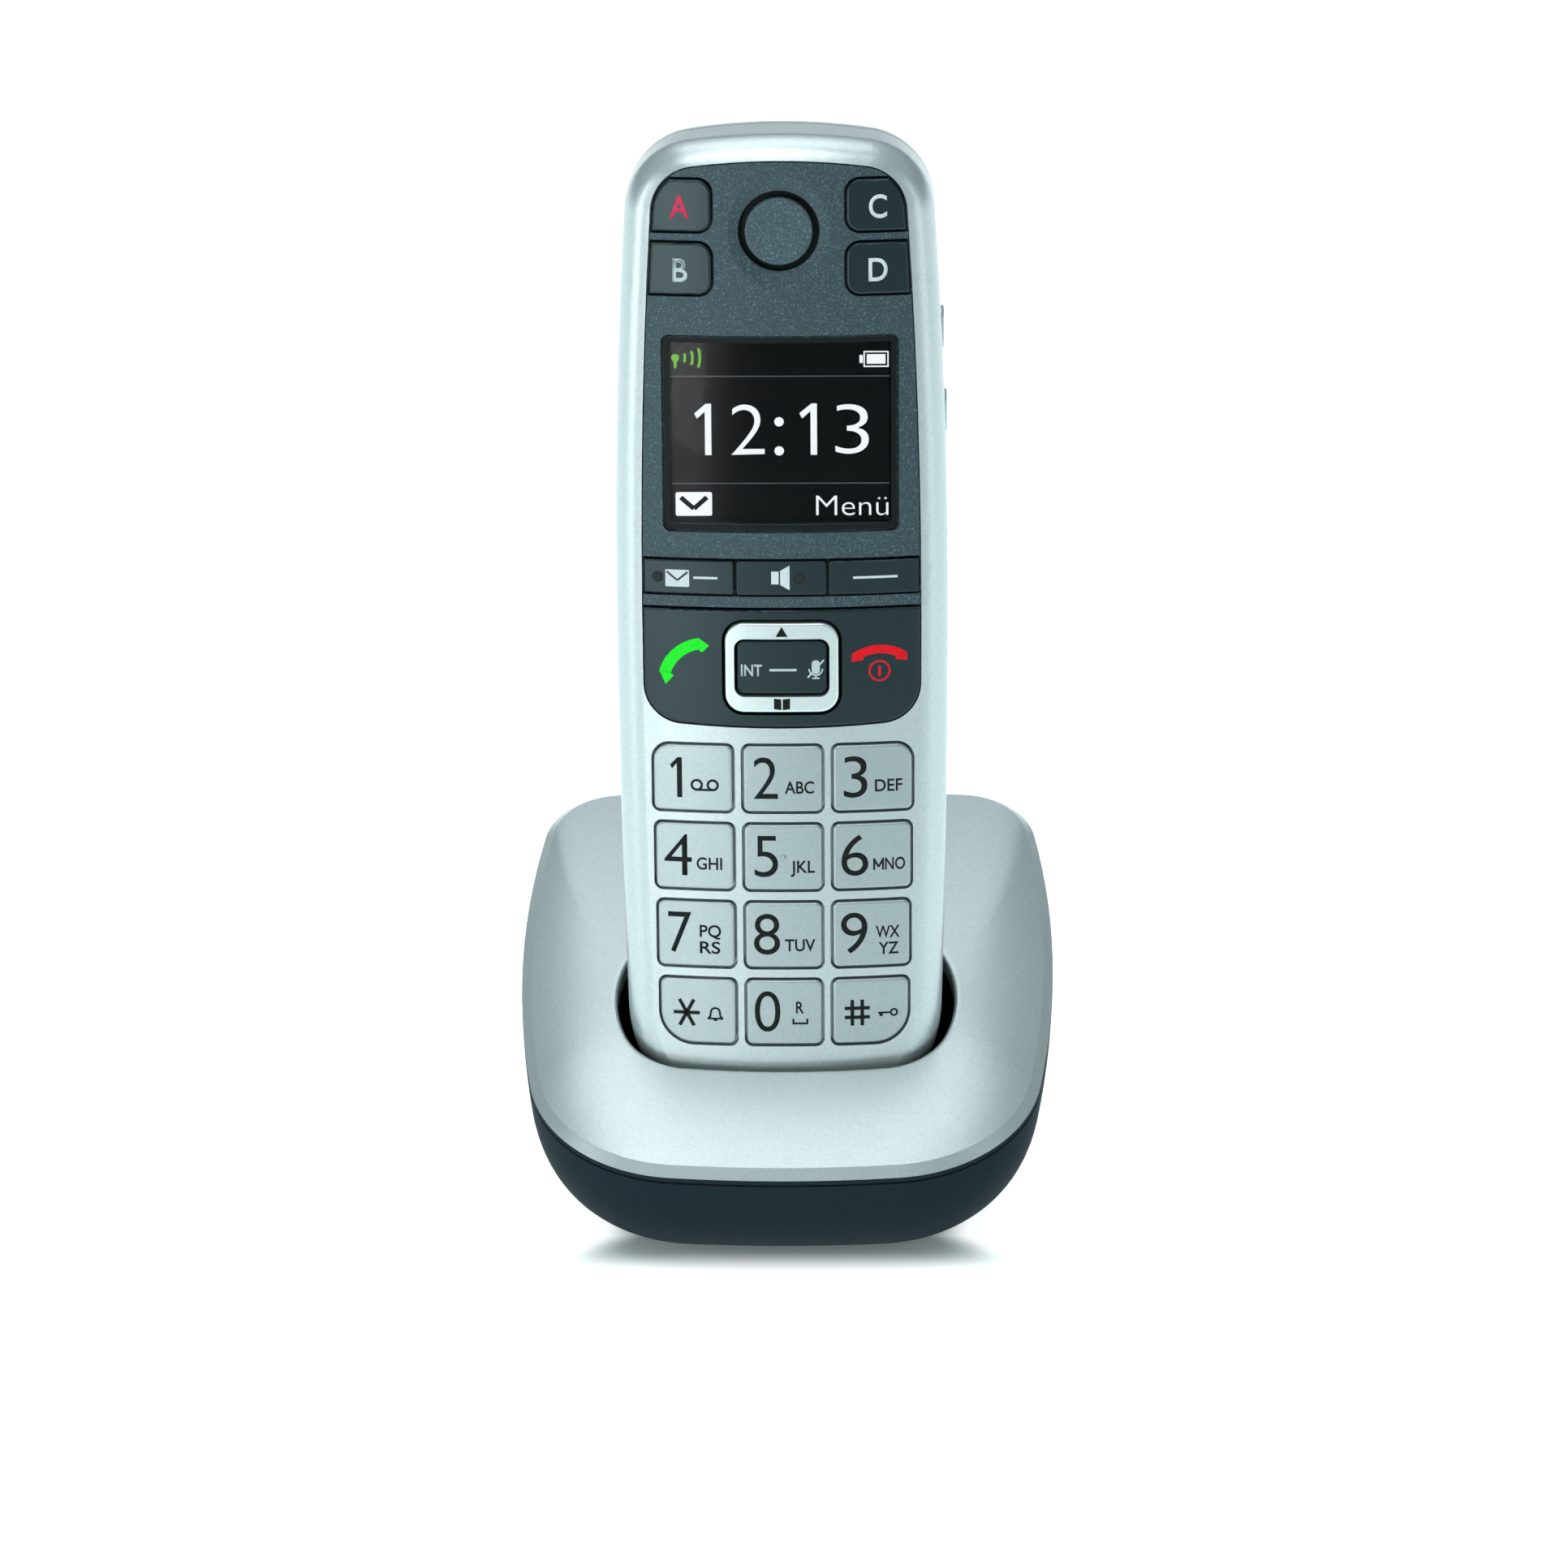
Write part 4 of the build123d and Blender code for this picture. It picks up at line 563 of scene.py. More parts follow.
class Print:
    """Flat marks in handset millimetres that are laid onto a surface of the handset as a thin film."""

    film: float = 0.03
    proud: float = 0.015
    strip: float = 0.8
    circle_steps: int = 28
    corner_steps: int = 4
    steps_per_radian: int = 7

    def __init__(self) -> None:
        """Start with nothing drawn."""
        self.mesh = bmesh.new()

    def bar(self, start: Point, end: Point, width: float) -> "Print":
        """Straight stroke between two points.

        Args:
            start: middle of one end.
            end: middle of the other end.
            width: width of the stroke.

        Returns:
            This print.
        """
        length = hypot(end[0] - start[0], end[1] - start[1])
        turn = Matrix.Rotation(atan2(end[1] - start[1], end[0] - start[0]), 4, "Z")
        middle = Matrix.Translation(((start[0] + end[0]) / 2, (start[1] + end[1]) / 2, 0.0))
        place = middle @ turn @ Matrix.Diagonal((length, width, 1.0, 1.0))
        bmesh.ops.create_grid(self.mesh, x_segments=1, y_segments=1, size=0.5, matrix=place)
        return self

    def box(self, centre: Point, width: float, height: float, corner: float = 0.0) -> "Print":
        """Filled rectangle, with rounded corners if wanted.

        Args:
            centre: middle of the rectangle.
            width: its size along x.
            height: its size along y.
            corner: radius of its corners.

        Returns:
            This print.
        """
        place = Matrix.Translation((*centre, 0.0)) @ Matrix.Diagonal((width, height, 1.0, 1.0))
        made = bmesh.ops.create_grid(self.mesh, x_segments=1, y_segments=1, size=0.5, matrix=place)
        if corner:
            bmesh.ops.bevel(self.mesh, geom=made["verts"], offset=corner, offset_type="OFFSET",
                            affect="VERTICES", segments=self.corner_steps, profile=0.5, material=-1)
        return self

    def disc(self, centre: Point, radius: float) -> "Print":
        """Filled circle.

        Args:
            centre: middle of the circle.
            radius: its radius.

        Returns:
            This print.
        """
        place = Matrix.Translation((*centre, 0.0))
        bmesh.ops.create_circle(self.mesh, cap_ends=True, segments=self.circle_steps, radius=radius,
                                matrix=place)
        return self

    def arc(self, centre: Point, radius: float, width: float, start: float, end: float) -> "Print":
        """Curved stroke around a centre.

        Args:
            centre: middle of the arc.
            radius: radius of the stroke's middle line.
            width: width of the stroke.
            start: first angle in degrees, from the right-hand side.
            end: last angle.

        Returns:
            This print.
        """
        sweep = radians(end - start)
        turn = Matrix.Translation((*centre, 0.0)) @ Matrix.Rotation(radians(start), 4, "Z")
        ends = [self.mesh.verts.new(turn @ Vector((radius + side * width / 2, 0.0, 0.0))) for side in (-1, 1)]
        edge = self.mesh.edges.new(ends)
        bmesh.ops.spin(self.mesh, geom=[edge, *ends], cent=(*centre, 0.0), axis=(0, 0, 1), angle=sweep,
                       steps=max(4, int(abs(sweep) * self.steps_per_radian)),
                       use_merge=abs(sweep) > 1.99 * pi, dvec=(0, 0, 0))
        return self

    def patch(self, *points: Point) -> "Print":
        """Filled outline through a few points."""
        self.mesh.faces.new([self.mesh.verts.new((*point, 0.0)) for point in points])
        return self

    def words(self, text: str, left: float, right: float, line: float, height: float,
              weight: float = 0.0) -> "Print":
        """Letters or digits in the built-in font, fitted between two sides.

        Args:
            text: what is written.
            left: left end of the ink.
            right: right end of the ink.
            line: base line.
            height: height of a capital or digit.
            weight: how far the strokes are widened, in the font's own units.

        Returns:
            This print.
        """
        flat = flat_text(text, weight)
        start, width = spread(v.co.x for v in flat.vertices)
        foot, rise = ink_height(text if text.isdigit() else "H")
        grow = Matrix.Diagonal(((right - left) / width, height / rise, 1.0, 1.0))
        to_corner = Matrix.Translation((-start, -foot, 0.0))
        flat.transform(Matrix.Translation((left, line, 0.0)) @ grow @ to_corner)
        self.mesh.from_mesh(flat)
        bpy.data.meshes.remove(flat)
        return self

    def one(self, left: float, right: float, line: float, height: float, stroke: float) -> "Print":
        """Digit one with its flag, fitted between two sides.

        Args:
            left: tip of the flag.
            right: right side of the stem.
            line: base line.
            height: height of the digit.
            stroke: width of the stem.

        Returns:
            This print.
        """
        top, stem = line + height, right - stroke
        return self.patch((stem, line), (right, line), (right, top), (stem + 0.15 * stroke, top),
                          (left, top - 0.19 * height), (left + 0.16 * (right - left), top - 0.29 * height),
                          (stem, top - 0.15 * height))

    def lay(self, name: str, level: Level, body: str, finish: Finish, slot: str,
            coats: int = 1) -> bpy.types.Object:
        """Bend the marks onto their surface and give them the thickness of a film.

        Args:
            name: name of the piece.
            level: surface that carries the marks.
            body: CAD body that the marks move with.
            finish: ink or glow.
            slot: the record's material slot; not used.
            coats: one on the bare surface, two over another print.

        Returns:
            The finished piece.
        """
        mesh = self.mesh
        flat = level is Level.SCREEN
        bmesh.ops.remove_doubles(mesh, verts=mesh.verts[:], dist=1e-5)
        if not flat:
            start, width = spread(v.co.x for v in mesh.verts)
            for step in range(int(start // self.strip) + 1, int((start + width) // self.strip) + 1):
                bmesh.ops.bisect_plane(mesh, geom=mesh.verts[:] + mesh.edges[:] + mesh.faces[:], dist=1e-6,
                                       plane_co=(step * self.strip, 0, 0), plane_no=(1, 0, 0))
        for vert in mesh.verts:
            vert.co.z = level.value + coats * self.proud - (0.0 if flat else HANDSET.sag(vert.co.x))
        for face in mesh.faces:
            face.normal_update()
            if face.normal.z < 0:
                face.normal_flip()
        grown = bmesh.ops.extrude_face_region(mesh, geom=mesh.faces[:], use_keep_orig=True)
        lower = [part for part in grown["geom"] if isinstance(part, bmesh.types.BMVert)]
        bmesh.ops.translate(mesh, verts=lower, vec=(0, 0, -self.film))
        bmesh.ops.transform(mesh, matrix=HANDSET.matrix(), verts=mesh.verts[:])
        return publish(mesh, name, body, finish)


@dataclass
class SubAssembly:
    """Group of CAD nodes that are finished together."""

    finishes: dict[str, Finish] = field(default_factory=dict)

    def dress(self) -> None:
        """Give every node of the group its finish."""
        for name, finish in self.finishes.items():
            node = frame["nodes"][name]
            node.data.materials.clear()
            node.data.materials.append(finish.material())
            log.info("%s is finished in %s", name, finish.name)

    def build(self) -> None:
        """Make the pieces that the CAD model leaves to this script."""


@dataclass
class Shell(SubAssembly):
    """Silver shell of the handset with its side keys and what it holds inside."""

    finishes: dict[str, Finish] = field(default_factory=lambda: {
        "handset_front_cover": SILVER, "handset_rear_cover": SILVER, "battery_door": SILVER,
        "side_key_upper": SILVER_KEYS, "side_key_lower": SILVER_KEYS, "handset_screws": ZINC,
        "handset_charge_contacts": GOLD, "battery_contacts": GOLD, "battery_cell_left": SLEEVE,
        "battery_cell_right": SLEEVE, "keypad_mat": RUBBER, "handset_circuit_board": BOARD,
        "earpiece_receiver": BLACK, "microphone": BLACK, "ringer_speaker": BLACK,
    })


@dataclass
class NumberPad(SubAssembly):
    """Twelve number keys and their legends."""

    finishes: dict[str, Finish] = field(default_factory=lambda: {
        f"key_{name}": SILVER_KEYS for name in (*map(str, range(10)), "star", "hash")})
    top_row: float = 58.8
    row_pitch: float = 12.25
    column_pitch: float = 13.45
    column_taper: float = 0.14
    digit_height: float = 6.55
    one_height: float = 6.25
    digit_line: float = -3.08
    digit_shift: float = -2.55
    digit_widths: dict[str, float] = field(default_factory=lambda: {
        "1": 1.8, "2": 3.65, "3": 3.55, "4": 4.15, "5": 3.55, "6": 4.05, "7": 3.55, "8": 3.95, "9": 4.0,
        "0": 3.9})
    digit_stroke: float = 0.78
    letter_height: float = 1.82
    letter_weight: float = 0.015
    digit_weight: float = -0.005
    letter_lines: dict[str, tuple[tuple[str, float, float, float], ...]] = field(default_factory=lambda: {
        "2": (("ABC", 0.3, 4.7, -2.2),), "3": (("DEF", 0.35, 4.45, -2.15),), "4": (("GHI", 0.25, 4.1, -2.0),),
        "5": (("JKL", 1.1, 4.75, -2.35),), "6": (("NO", 1.98, 5.0, -2.2),),
        "7": (("PQ", 0.45, 3.7, -0.4), ("RS", 0.45, 3.55, -3.0)), "8": (("TUV", 0.15, 4.75, -2.45),),
        "9": (("WX", 0.7, 4.3, -0.65), ("YZ", 1.1, 4.15, -3.25))})
    letter_stroke: float = 0.3
    stroke: float = 0.55
    thin: float = 0.3
    pip_radius: float = 0.45

    def place(self, index: int) -> Point:
        """Middle of a key, counted from the upper left.

        Args:
            index: number of the key from 0 to 11.

        Returns:
            Its middle in handset millimetres.
        """
        row, column = divmod(index, 3)
        pitch = self.column_pitch - self.column_taper * row
        return (column - 1) * pitch, self.top_row - row * self.row_pitch

    def build(self) -> None:
        """Print every key and raise the pip on the middle one."""
        signs = {"1": self.tape, "6": self.first_of_six, "star": self.star, "0": self.blank,
                 "hash": self.hash}
        for index, key in enumerate((*"123456789", "star", "0", "hash")):
            x, y = self.place(index)
            marks = Print()
            if key in self.digit_widths:
                half = self.digit_widths[key] / 2
                box = (x + self.digit_shift - half, x + self.digit_shift + half, y + self.digit_line)
                if key == "1":
                    marks.one(*box, self.one_height, self.digit_stroke)
                else:
                    marks.words(key, *box, self.digit_height, self.digit_weight)
            for word, left, right, line in self.letter_lines.get(key, ()):
                marks.words(word, x + left, x + right, y + line, self.letter_height, self.letter_weight)
            if key in signs:
                signs[key](marks, x, y)
            marks.lay(f"legend_key_{key}", Level.NUMBER_KEY, f"key_{key}", INK_BLACK, "black_plastic")
        self.pip()

    def pip(self) -> None:
        """Small dome that a thumb finds on the middle key."""
        x, y = self.place(4)
        mesh = bmesh.new()
        place = Matrix.Translation((x, y, Level.NUMBER_KEY.value)) @ Matrix.Diagonal((1.0, 1.0, 0.75, 1.0))
        bmesh.ops.create_uvsphere(mesh, u_segments=20, v_segments=10, radius=self.pip_radius, matrix=place)
        bmesh.ops.transform(mesh, matrix=HANDSET.matrix(), verts=mesh.verts[:])
        publish(mesh, "pip_key_5", "key_5", SILVER_KEYS)

    def tape(self, marks: Print, x: float, y: float) -> None:
        """Two spools joined by a line, for the voice mail.

        Args:
            marks: print of the key.
            x: its middle across.
            y: its middle along.
        """
        for side in (-1, 1):
            marks.arc((x + 1.75 + side * 1.2, y - 1.05), 0.75, 0.36, 0, 360)
        marks.bar((x + 0.55, y - 1.8), (x + 2.95, y - 1.8), 0.36)

    def first_of_six(self, marks: Print, x: float, y: float) -> None:
        """Letter in front of the two that are set in the font, drawn from four strokes.

        Args:
            marks: print of the key.
            x: its middle across.
            y: its middle along.
        """
        half, foot, top = self.letter_stroke / 2, y - 2.2, y - 2.2 + self.letter_height
        left, right = x + 0.2 + half, x + 1.82 - half
        middle = ((left + right) / 2, foot + 0.25 * self.letter_height)
        for side in (left, right):
            marks.bar((side, foot), (side, top), self.letter_stroke)
            marks.bar((side, top - half), middle, self.letter_stroke)

    def star(self, marks: Print, x: float, y: float) -> None:
        """Six-armed star and a bell.

        Args:
            marks: print of the key.
            x: its middle across.
            y: its middle along.
        """
        middle = Vector((x - 1.8, y - 0.25))
        for angle, reach in ((0, 2.0), (62, 2.35), (118, 2.35)):
            arm = Vector((cos(radians(angle)), sin(radians(angle)))) * reach
            marks.bar(tuple(middle - arm), tuple(middle + arm), self.stroke)
        bell_x, bell_y = x + 2.55, y - 0.1
        marks.arc((bell_x, bell_y), 0.68, self.thin, 0, 180)
        for side in (-1, 1):
            marks.bar((bell_x + side * 0.68, bell_y), (bell_x + side * 0.76, bell_y - 0.65), self.thin)
            marks.bar((bell_x + side * 0.74, bell_y - 0.6), (bell_x + side * 1.1, bell_y - 1.0), self.thin)
        marks.bar((bell_x - 1.2, bell_y - 1.0), (bell_x + 1.2, bell_y - 1.0), self.thin)
        marks.box((bell_x, bell_y - 1.2), 0.6, 0.35, 0.12)

    def blank(self, marks: Print, x: float, y: float) -> None:
        """Recall letter over the sign for a blank.

        Args:
            marks: print of the key.
            x: its middle across.
            y: its middle along.
        """
        marks.words("R", x + 1.75, x + 2.95, y - 0.1, self.letter_height, self.letter_weight)
        for side in (-1, 1):
            marks.bar((x + 2.4 + side * 1.05, y - 0.95), (x + 2.4 + side * 1.05, y - 1.85), self.thin)
        marks.bar((x + 1.25, y - 1.72), (x + 3.55, y - 1.72), self.thin)

    def hash(self, marks: Print, x: float, y: float) -> None:
        """Hash sign and a key.

        Args:
            marks: print of the key.
            x: its middle across.
            y: its middle along.
        """
        middle_x, middle_y = x - 2.0, y - 0.2
        for side in (-1, 1):
            marks.bar((middle_x + side * 0.75, middle_y - 2.05), (middle_x + side * 0.75, middle_y + 2.05),
                      self.stroke)
            marks.bar((middle_x - 1.9, middle_y + side * 0.72), (middle_x + 1.9, middle_y + side * 0.72),
                      self.stroke)
        bow_x, bow_y = x + 3.55, y - 0.35
        marks.arc((bow_x, bow_y), 0.48, self.thin, 0, 360)
        marks.bar((bow_x - 0.5, bow_y), (bow_x - 2.4, bow_y), self.thin)
        marks.box((bow_x - 1.95, bow_y - 0.3), 0.5, 0.5)


@dataclass
class Panel(SubAssembly):
    """Dark panel: faceplate, earpiece, direct keys, function keys, call bar and navigation keys."""

    finishes: dict[str, Finish] = field(default_factory=lambda: {
        "faceplate": SLATE_GRAIN, "earpiece_disc": SLATE_DISC_PAINTED_HIGHLIGHT, "direct_key_a": SLATE_KEYS,
        "direct_key_b": SLATE_KEYS, "direct_key_c": SLATE_KEYS, "direct_key_d": SLATE_KEYS,
        "message_key": SLATE_KEYS, "speaker_key": SLATE_KEYS, "menu_key": SLATE_KEYS,
        "message_led_lens": LENS, "speaker_led_lens": LENS, "call_bar": SLATE_KEYS,
        "navigation_ring": SILVER_BRIGHT, "navigation_centre": SLATE_KEYS,
    })
    letter_height: float = 3.3
    letter_weight: float = 0.014
    letter_x: float = 14.5
    letter_widths: dict[str, float] = field(default_factory=lambda: {"A": 2.9, "B": 2.2, "C": 2.65, "D": 2.8})
    upper_line: float = 143.65
    lower_line: float = 134.3
    function_line: float = 89.72
    thin: float = 0.36
    ring_middle: float = 75.7
    ear_middle: Point = (0.0, 141.7)
    # Size of the black ring of painted shade in the earpiece groove.
    groove_shade_radius: float = 5.13
    groove_shade_width: float = 1.66
    slot: str = "slate_plastic"

    def build(self) -> None:
        """Print every mark of the panel, and lay the painted shade in the earpiece groove."""
        self.direct_letters()
        self.message_marks()
        self.speaker_marks()
        self.call_marks()
        self.ring_marks()
        self.centre_marks()
        self.ear_groove_shade()

    def ear_groove_shade(self) -> None:
        """Black ring laid in the groove round the earpiece as painted shade, darkening the groove and the
        tabs in it.
        """
        groove_shade = Print().arc(self.ear_middle, self.groove_shade_radius, self.groove_shade_width, 0, 360)
        groove_shade.lay("earpiece_groove_shade", Level.EAR_GROOVE_SHADE, "handset", INK_BLACK, "black_plastic")

    def direct_letters(self) -> None:
        """One letter on each direct key."""
        upper, lower = self.upper_line, self.lower_line
        for letter, side, line, ink in (("A", -1, upper, INK_PINK), ("B", -1, lower, INK_PALE),
                                        ("C", 1, upper, INK_WHITE), ("D", 1, lower, INK_WHITE)):
            middle, half = side * self.letter_x, self.letter_widths[letter] / 2
            marks = Print().words(letter, middle - half, middle + half, line, self.letter_height,
                                  self.letter_weight)
            body = f"direct_key_{letter.lower()}"
            marks.lay(f"legend_{body}", Level.PANEL_KEY, body, ink, self.slot)

    def message_marks(self) -> None:
        """Envelope and dash on the message key."""
        y = self.function_line
        middle_x, middle_y, width, height = -15.45, y - 0.15, 3.55, 2.6
        marks = Print().bar((-13.05, y), (-9.45, y), self.thin).box((middle_x, middle_y), width, height, 0.2)
        marks.lay("legend_message_key", Level.PANEL_KEY, "message_key", INK_WHITE, self.slot)
        flap = Print()
        for side in (-1, 1):
            flap.bar((middle_x + side * 0.44 * width, middle_y + 0.38 * height),
                     (middle_x, middle_y - 0.12 * height), 0.3)
        flap.lay("legend_message_flap", Level.PANEL_KEY, "message_key", SLATE_KEYS, self.slot, coats=2)

    def speaker_marks(self) -> None:
        """Loudspeaker on the middle key, and the dash on the menu key."""
        y = self.function_line
        marks = Print().box((-0.92, y + 0.12), 1.1, 1.95)
        marks.patch((-0.15, y - 0.95), (1.25, y - 1.75), (1.25, y + 2.0), (-0.15, y + 1.2))
        marks.lay("legend_speaker_key", Level.PANEL_KEY, "speaker_key", INK_WHITE, self.slot)
        marks = Print().bar((10.65, y), (17.25, y), self.thin)
        marks.lay("legend_menu_key", Level.PANEL_KEY, "menu_key", INK_WHITE, self.slot)

    def call_marks(self) -> None:
        """Green lifted receiver, and a red laid receiver with the sign for power."""
        marks = Print().arc((-11.25, 73.14), 6.54, 1.75, 99, 163)
        marks.patch((-12.85, 79.0), (-12.42, 80.47), (-10.8, 79.33), (-11.9, 78.23))
        marks.patch((-18.35, 75.32), (-17.38, 73.2), (-16.16, 74.56), (-16.9, 75.15))
        marks.lay("legend_call", Level.CALL_BAR, "call_bar", INK_GREEN, self.slot)
        middle = 14.54
        marks = Print().arc((middle, 72.07), 6.57, 1.3, 55.6, 124.4)
        for side in (-1, 1):
            marks.patch((middle + side * 2.4, 77.0), (middle + side * 4.15, 76.78),
                        (middle + side * 4.1, 78.0), (middle + side * 2.4, 77.7))
        marks.arc((middle, 75.3), 1.5, 0.28, 0, 360)
        marks.bar((middle, 74.5), (middle, 76.05), 0.38)
        marks.lay("legend_end", Level.CALL_BAR, "call_bar", INK_RED, self.slot)

    def ring_marks(self) -> None:
        """Arrow and phone book on the ring."""
        marks = Print().patch((-0.9, 80.88), (0.9, 80.88), (0.0, 82.42))
        for side in (-1, 1):
            marks.patch((side * 0.1, 69.6), (side * 1.2, 69.75), (side * 1.2, 71.4), (side * 0.1, 71.25))
        marks.lay("legend_ring", Level.RING, "navigation_ring", INK_BLACK, "black_plastic")

    def centre_marks(self) -> None:
        """Sign for internal calls, dash and muted microphone on the centre key."""
        y = self.ring_middle
        marks = Print().words("INT", -6.1, -2.95, y - 0.92, 1.72, 0.018)
        marks.bar((-1.85, y), (2.2, y), self.thin)
        mic = 5.05
        marks.box((mic, y + 0.42), 1.2, 2.1, 0.5)
        marks.arc((mic, y + 0.15), 1.0, 0.22, 180, 360)
        marks.bar((mic, y - 0.8), (mic, y - 1.3), 0.24)
        marks.bar((mic - 0.55, y - 1.3), (mic + 0.55, y - 1.3), 0.22)
        marks.bar((mic - 1.2, y - 1.2), (mic + 1.2, y + 1.5), 0.26)
        marks.lay("legend_centre", Level.CENTRE_KEY, "navigation_centre", INK_PALE, self.slot)


@dataclass
class Display(SubAssembly):
    """Window, display module and the lit picture."""

    finishes: dict[str, Finish] = field(default_factory=lambda: {
        "display_window": WINDOW, "display_module": SCREEN})
    clock_line: float = 107.85
    clock_height: float = 7.75
    clock_stroke: float = 0.95
    word: str = "Menü"
    window_middle: float = 111.4
    border_half: Point = (17.1, 14.45)
    border_width: float = 0.75

    def build(self) -> None:
        """Lay every element of the picture on the display module."""
        white = Print()
        for left, right in ((-12.7, -10.2), (2.8, 5.4)):
            white.one(left, right, self.clock_line, self.clock_height, self.clock_stroke)
        for digit, left, right in (("2", -7.25, -2.35), ("3", 8.1, 13.05)):
            white.words(digit, left, right, self.clock_line, self.clock_height, -0.012)
        for height in (108.45, 112.85):
            white.disc((-0.2, height), 0.7)
        white.words(self.word, 5.2, 15.9, 98.65, 3.05, -0.012)
        middle_x, middle_y, width, height = -12.9, 100.45, 5.4, 3.6
        white.box((middle_x, middle_y), width, height, 0.3)
        self.battery(white)
        self.show(white, "display_white", GLOW_WHITE)
        flap = Print()
        for side in (-1, 1):
            flap.bar((middle_x + side * 0.36 * width, middle_y + 0.28 * height),
                     (middle_x, middle_y - 0.2 * height), 0.72)
        self.show(flap, "display_flap", SCREEN, coats=2)
        mast_x, mast_y = -15.4, 122.5
        signal = Print().disc((mast_x, mast_y), 0.58).bar((mast_x, mast_y), (mast_x, mast_y - 1.5), 0.42)
        for radius, reach in ((1.45, 26), (2.55, 24), (3.65, 23)):
            signal.arc((mast_x, mast_y), radius, 0.36, -reach, reach)
        self.show(signal, "display_green", GLOW_GREEN)
        lines = Print()
        for height in (119.7, 103.55):
            lines.bar((-16.1, height), (16.1, height), 0.13)
        self.show(lines, "display_lines", GLOW_GREY)
        self.border()

    def border(self) -> None:
        """Black frame printed along the edge of the window."""
        half_x, half_y, edge = *self.border_half, self.border_width
        low, high = self.window_middle - half_y, self.window_middle + half_y
        marks = Print()
        for side in (-1, 1):
            x, y = side * (half_x - edge / 2), self.window_middle + side * (half_y - edge / 2)
            marks.bar((x, low), (x, high), edge)
            marks.bar((edge - half_x, y), (half_x - edge, y), edge)
        marks.lay("display_border", Level.WINDOW, "handset", INK_BLACK, "black_plastic")

    def show(self, marks: Print, name: str, finish: Finish, coats: int = 1) -> None:
        """Lay one colour of the picture."""
        marks.lay(name, Level.SCREEN, "handset", finish, "display_panel", coats)

    def battery(self, marks: Print) -> None:
        """Outline of a full cell with its nub on the left.

        Args:
            marks: white print of the display.
        """
        left, right, low, high, edge = 12.4, 15.9, 121.15, 123.35, 0.2
        middle = (low + high) / 2
        for height in (low, high):
            marks.bar((left, height), (right, height), edge)
        for x in (left, right):
            marks.bar((x, low - edge / 2), (x, high + edge / 2), edge)
        marks.box(((left + right) / 2, middle), right - left - 0.75, high - low - 0.75)
        marks.box((left - 0.45, middle), 0.5, 1.2)


@dataclass
class Base(SubAssembly):
    """Charging base with its cradle, sockets and feet."""

    finishes: dict[str, Finish] = field(default_factory=lambda: {
        "base_top_cover": SILVER, "base_lower_shell": SLATE_BOWL, "cradle_well": BLACK, "line_socket": BLACK,
        "power_socket": BLACK, "paging_key": SLATE_KEYS, "charge_pin_left": GOLD, "charge_pin_right": GOLD,
        "base_circuit_board": BOARD, "base_feet": RUBBER, "base_screws": ZINC, "screw_plugs": SLATE_BOWL,
    })


@dataclass(frozen=True)
class Softbox:
    """One studio lamp: where it stands, its width, height and power."""

    name: str
    place: tuple[float, float, float]
    width: float
    height: float
    power: float


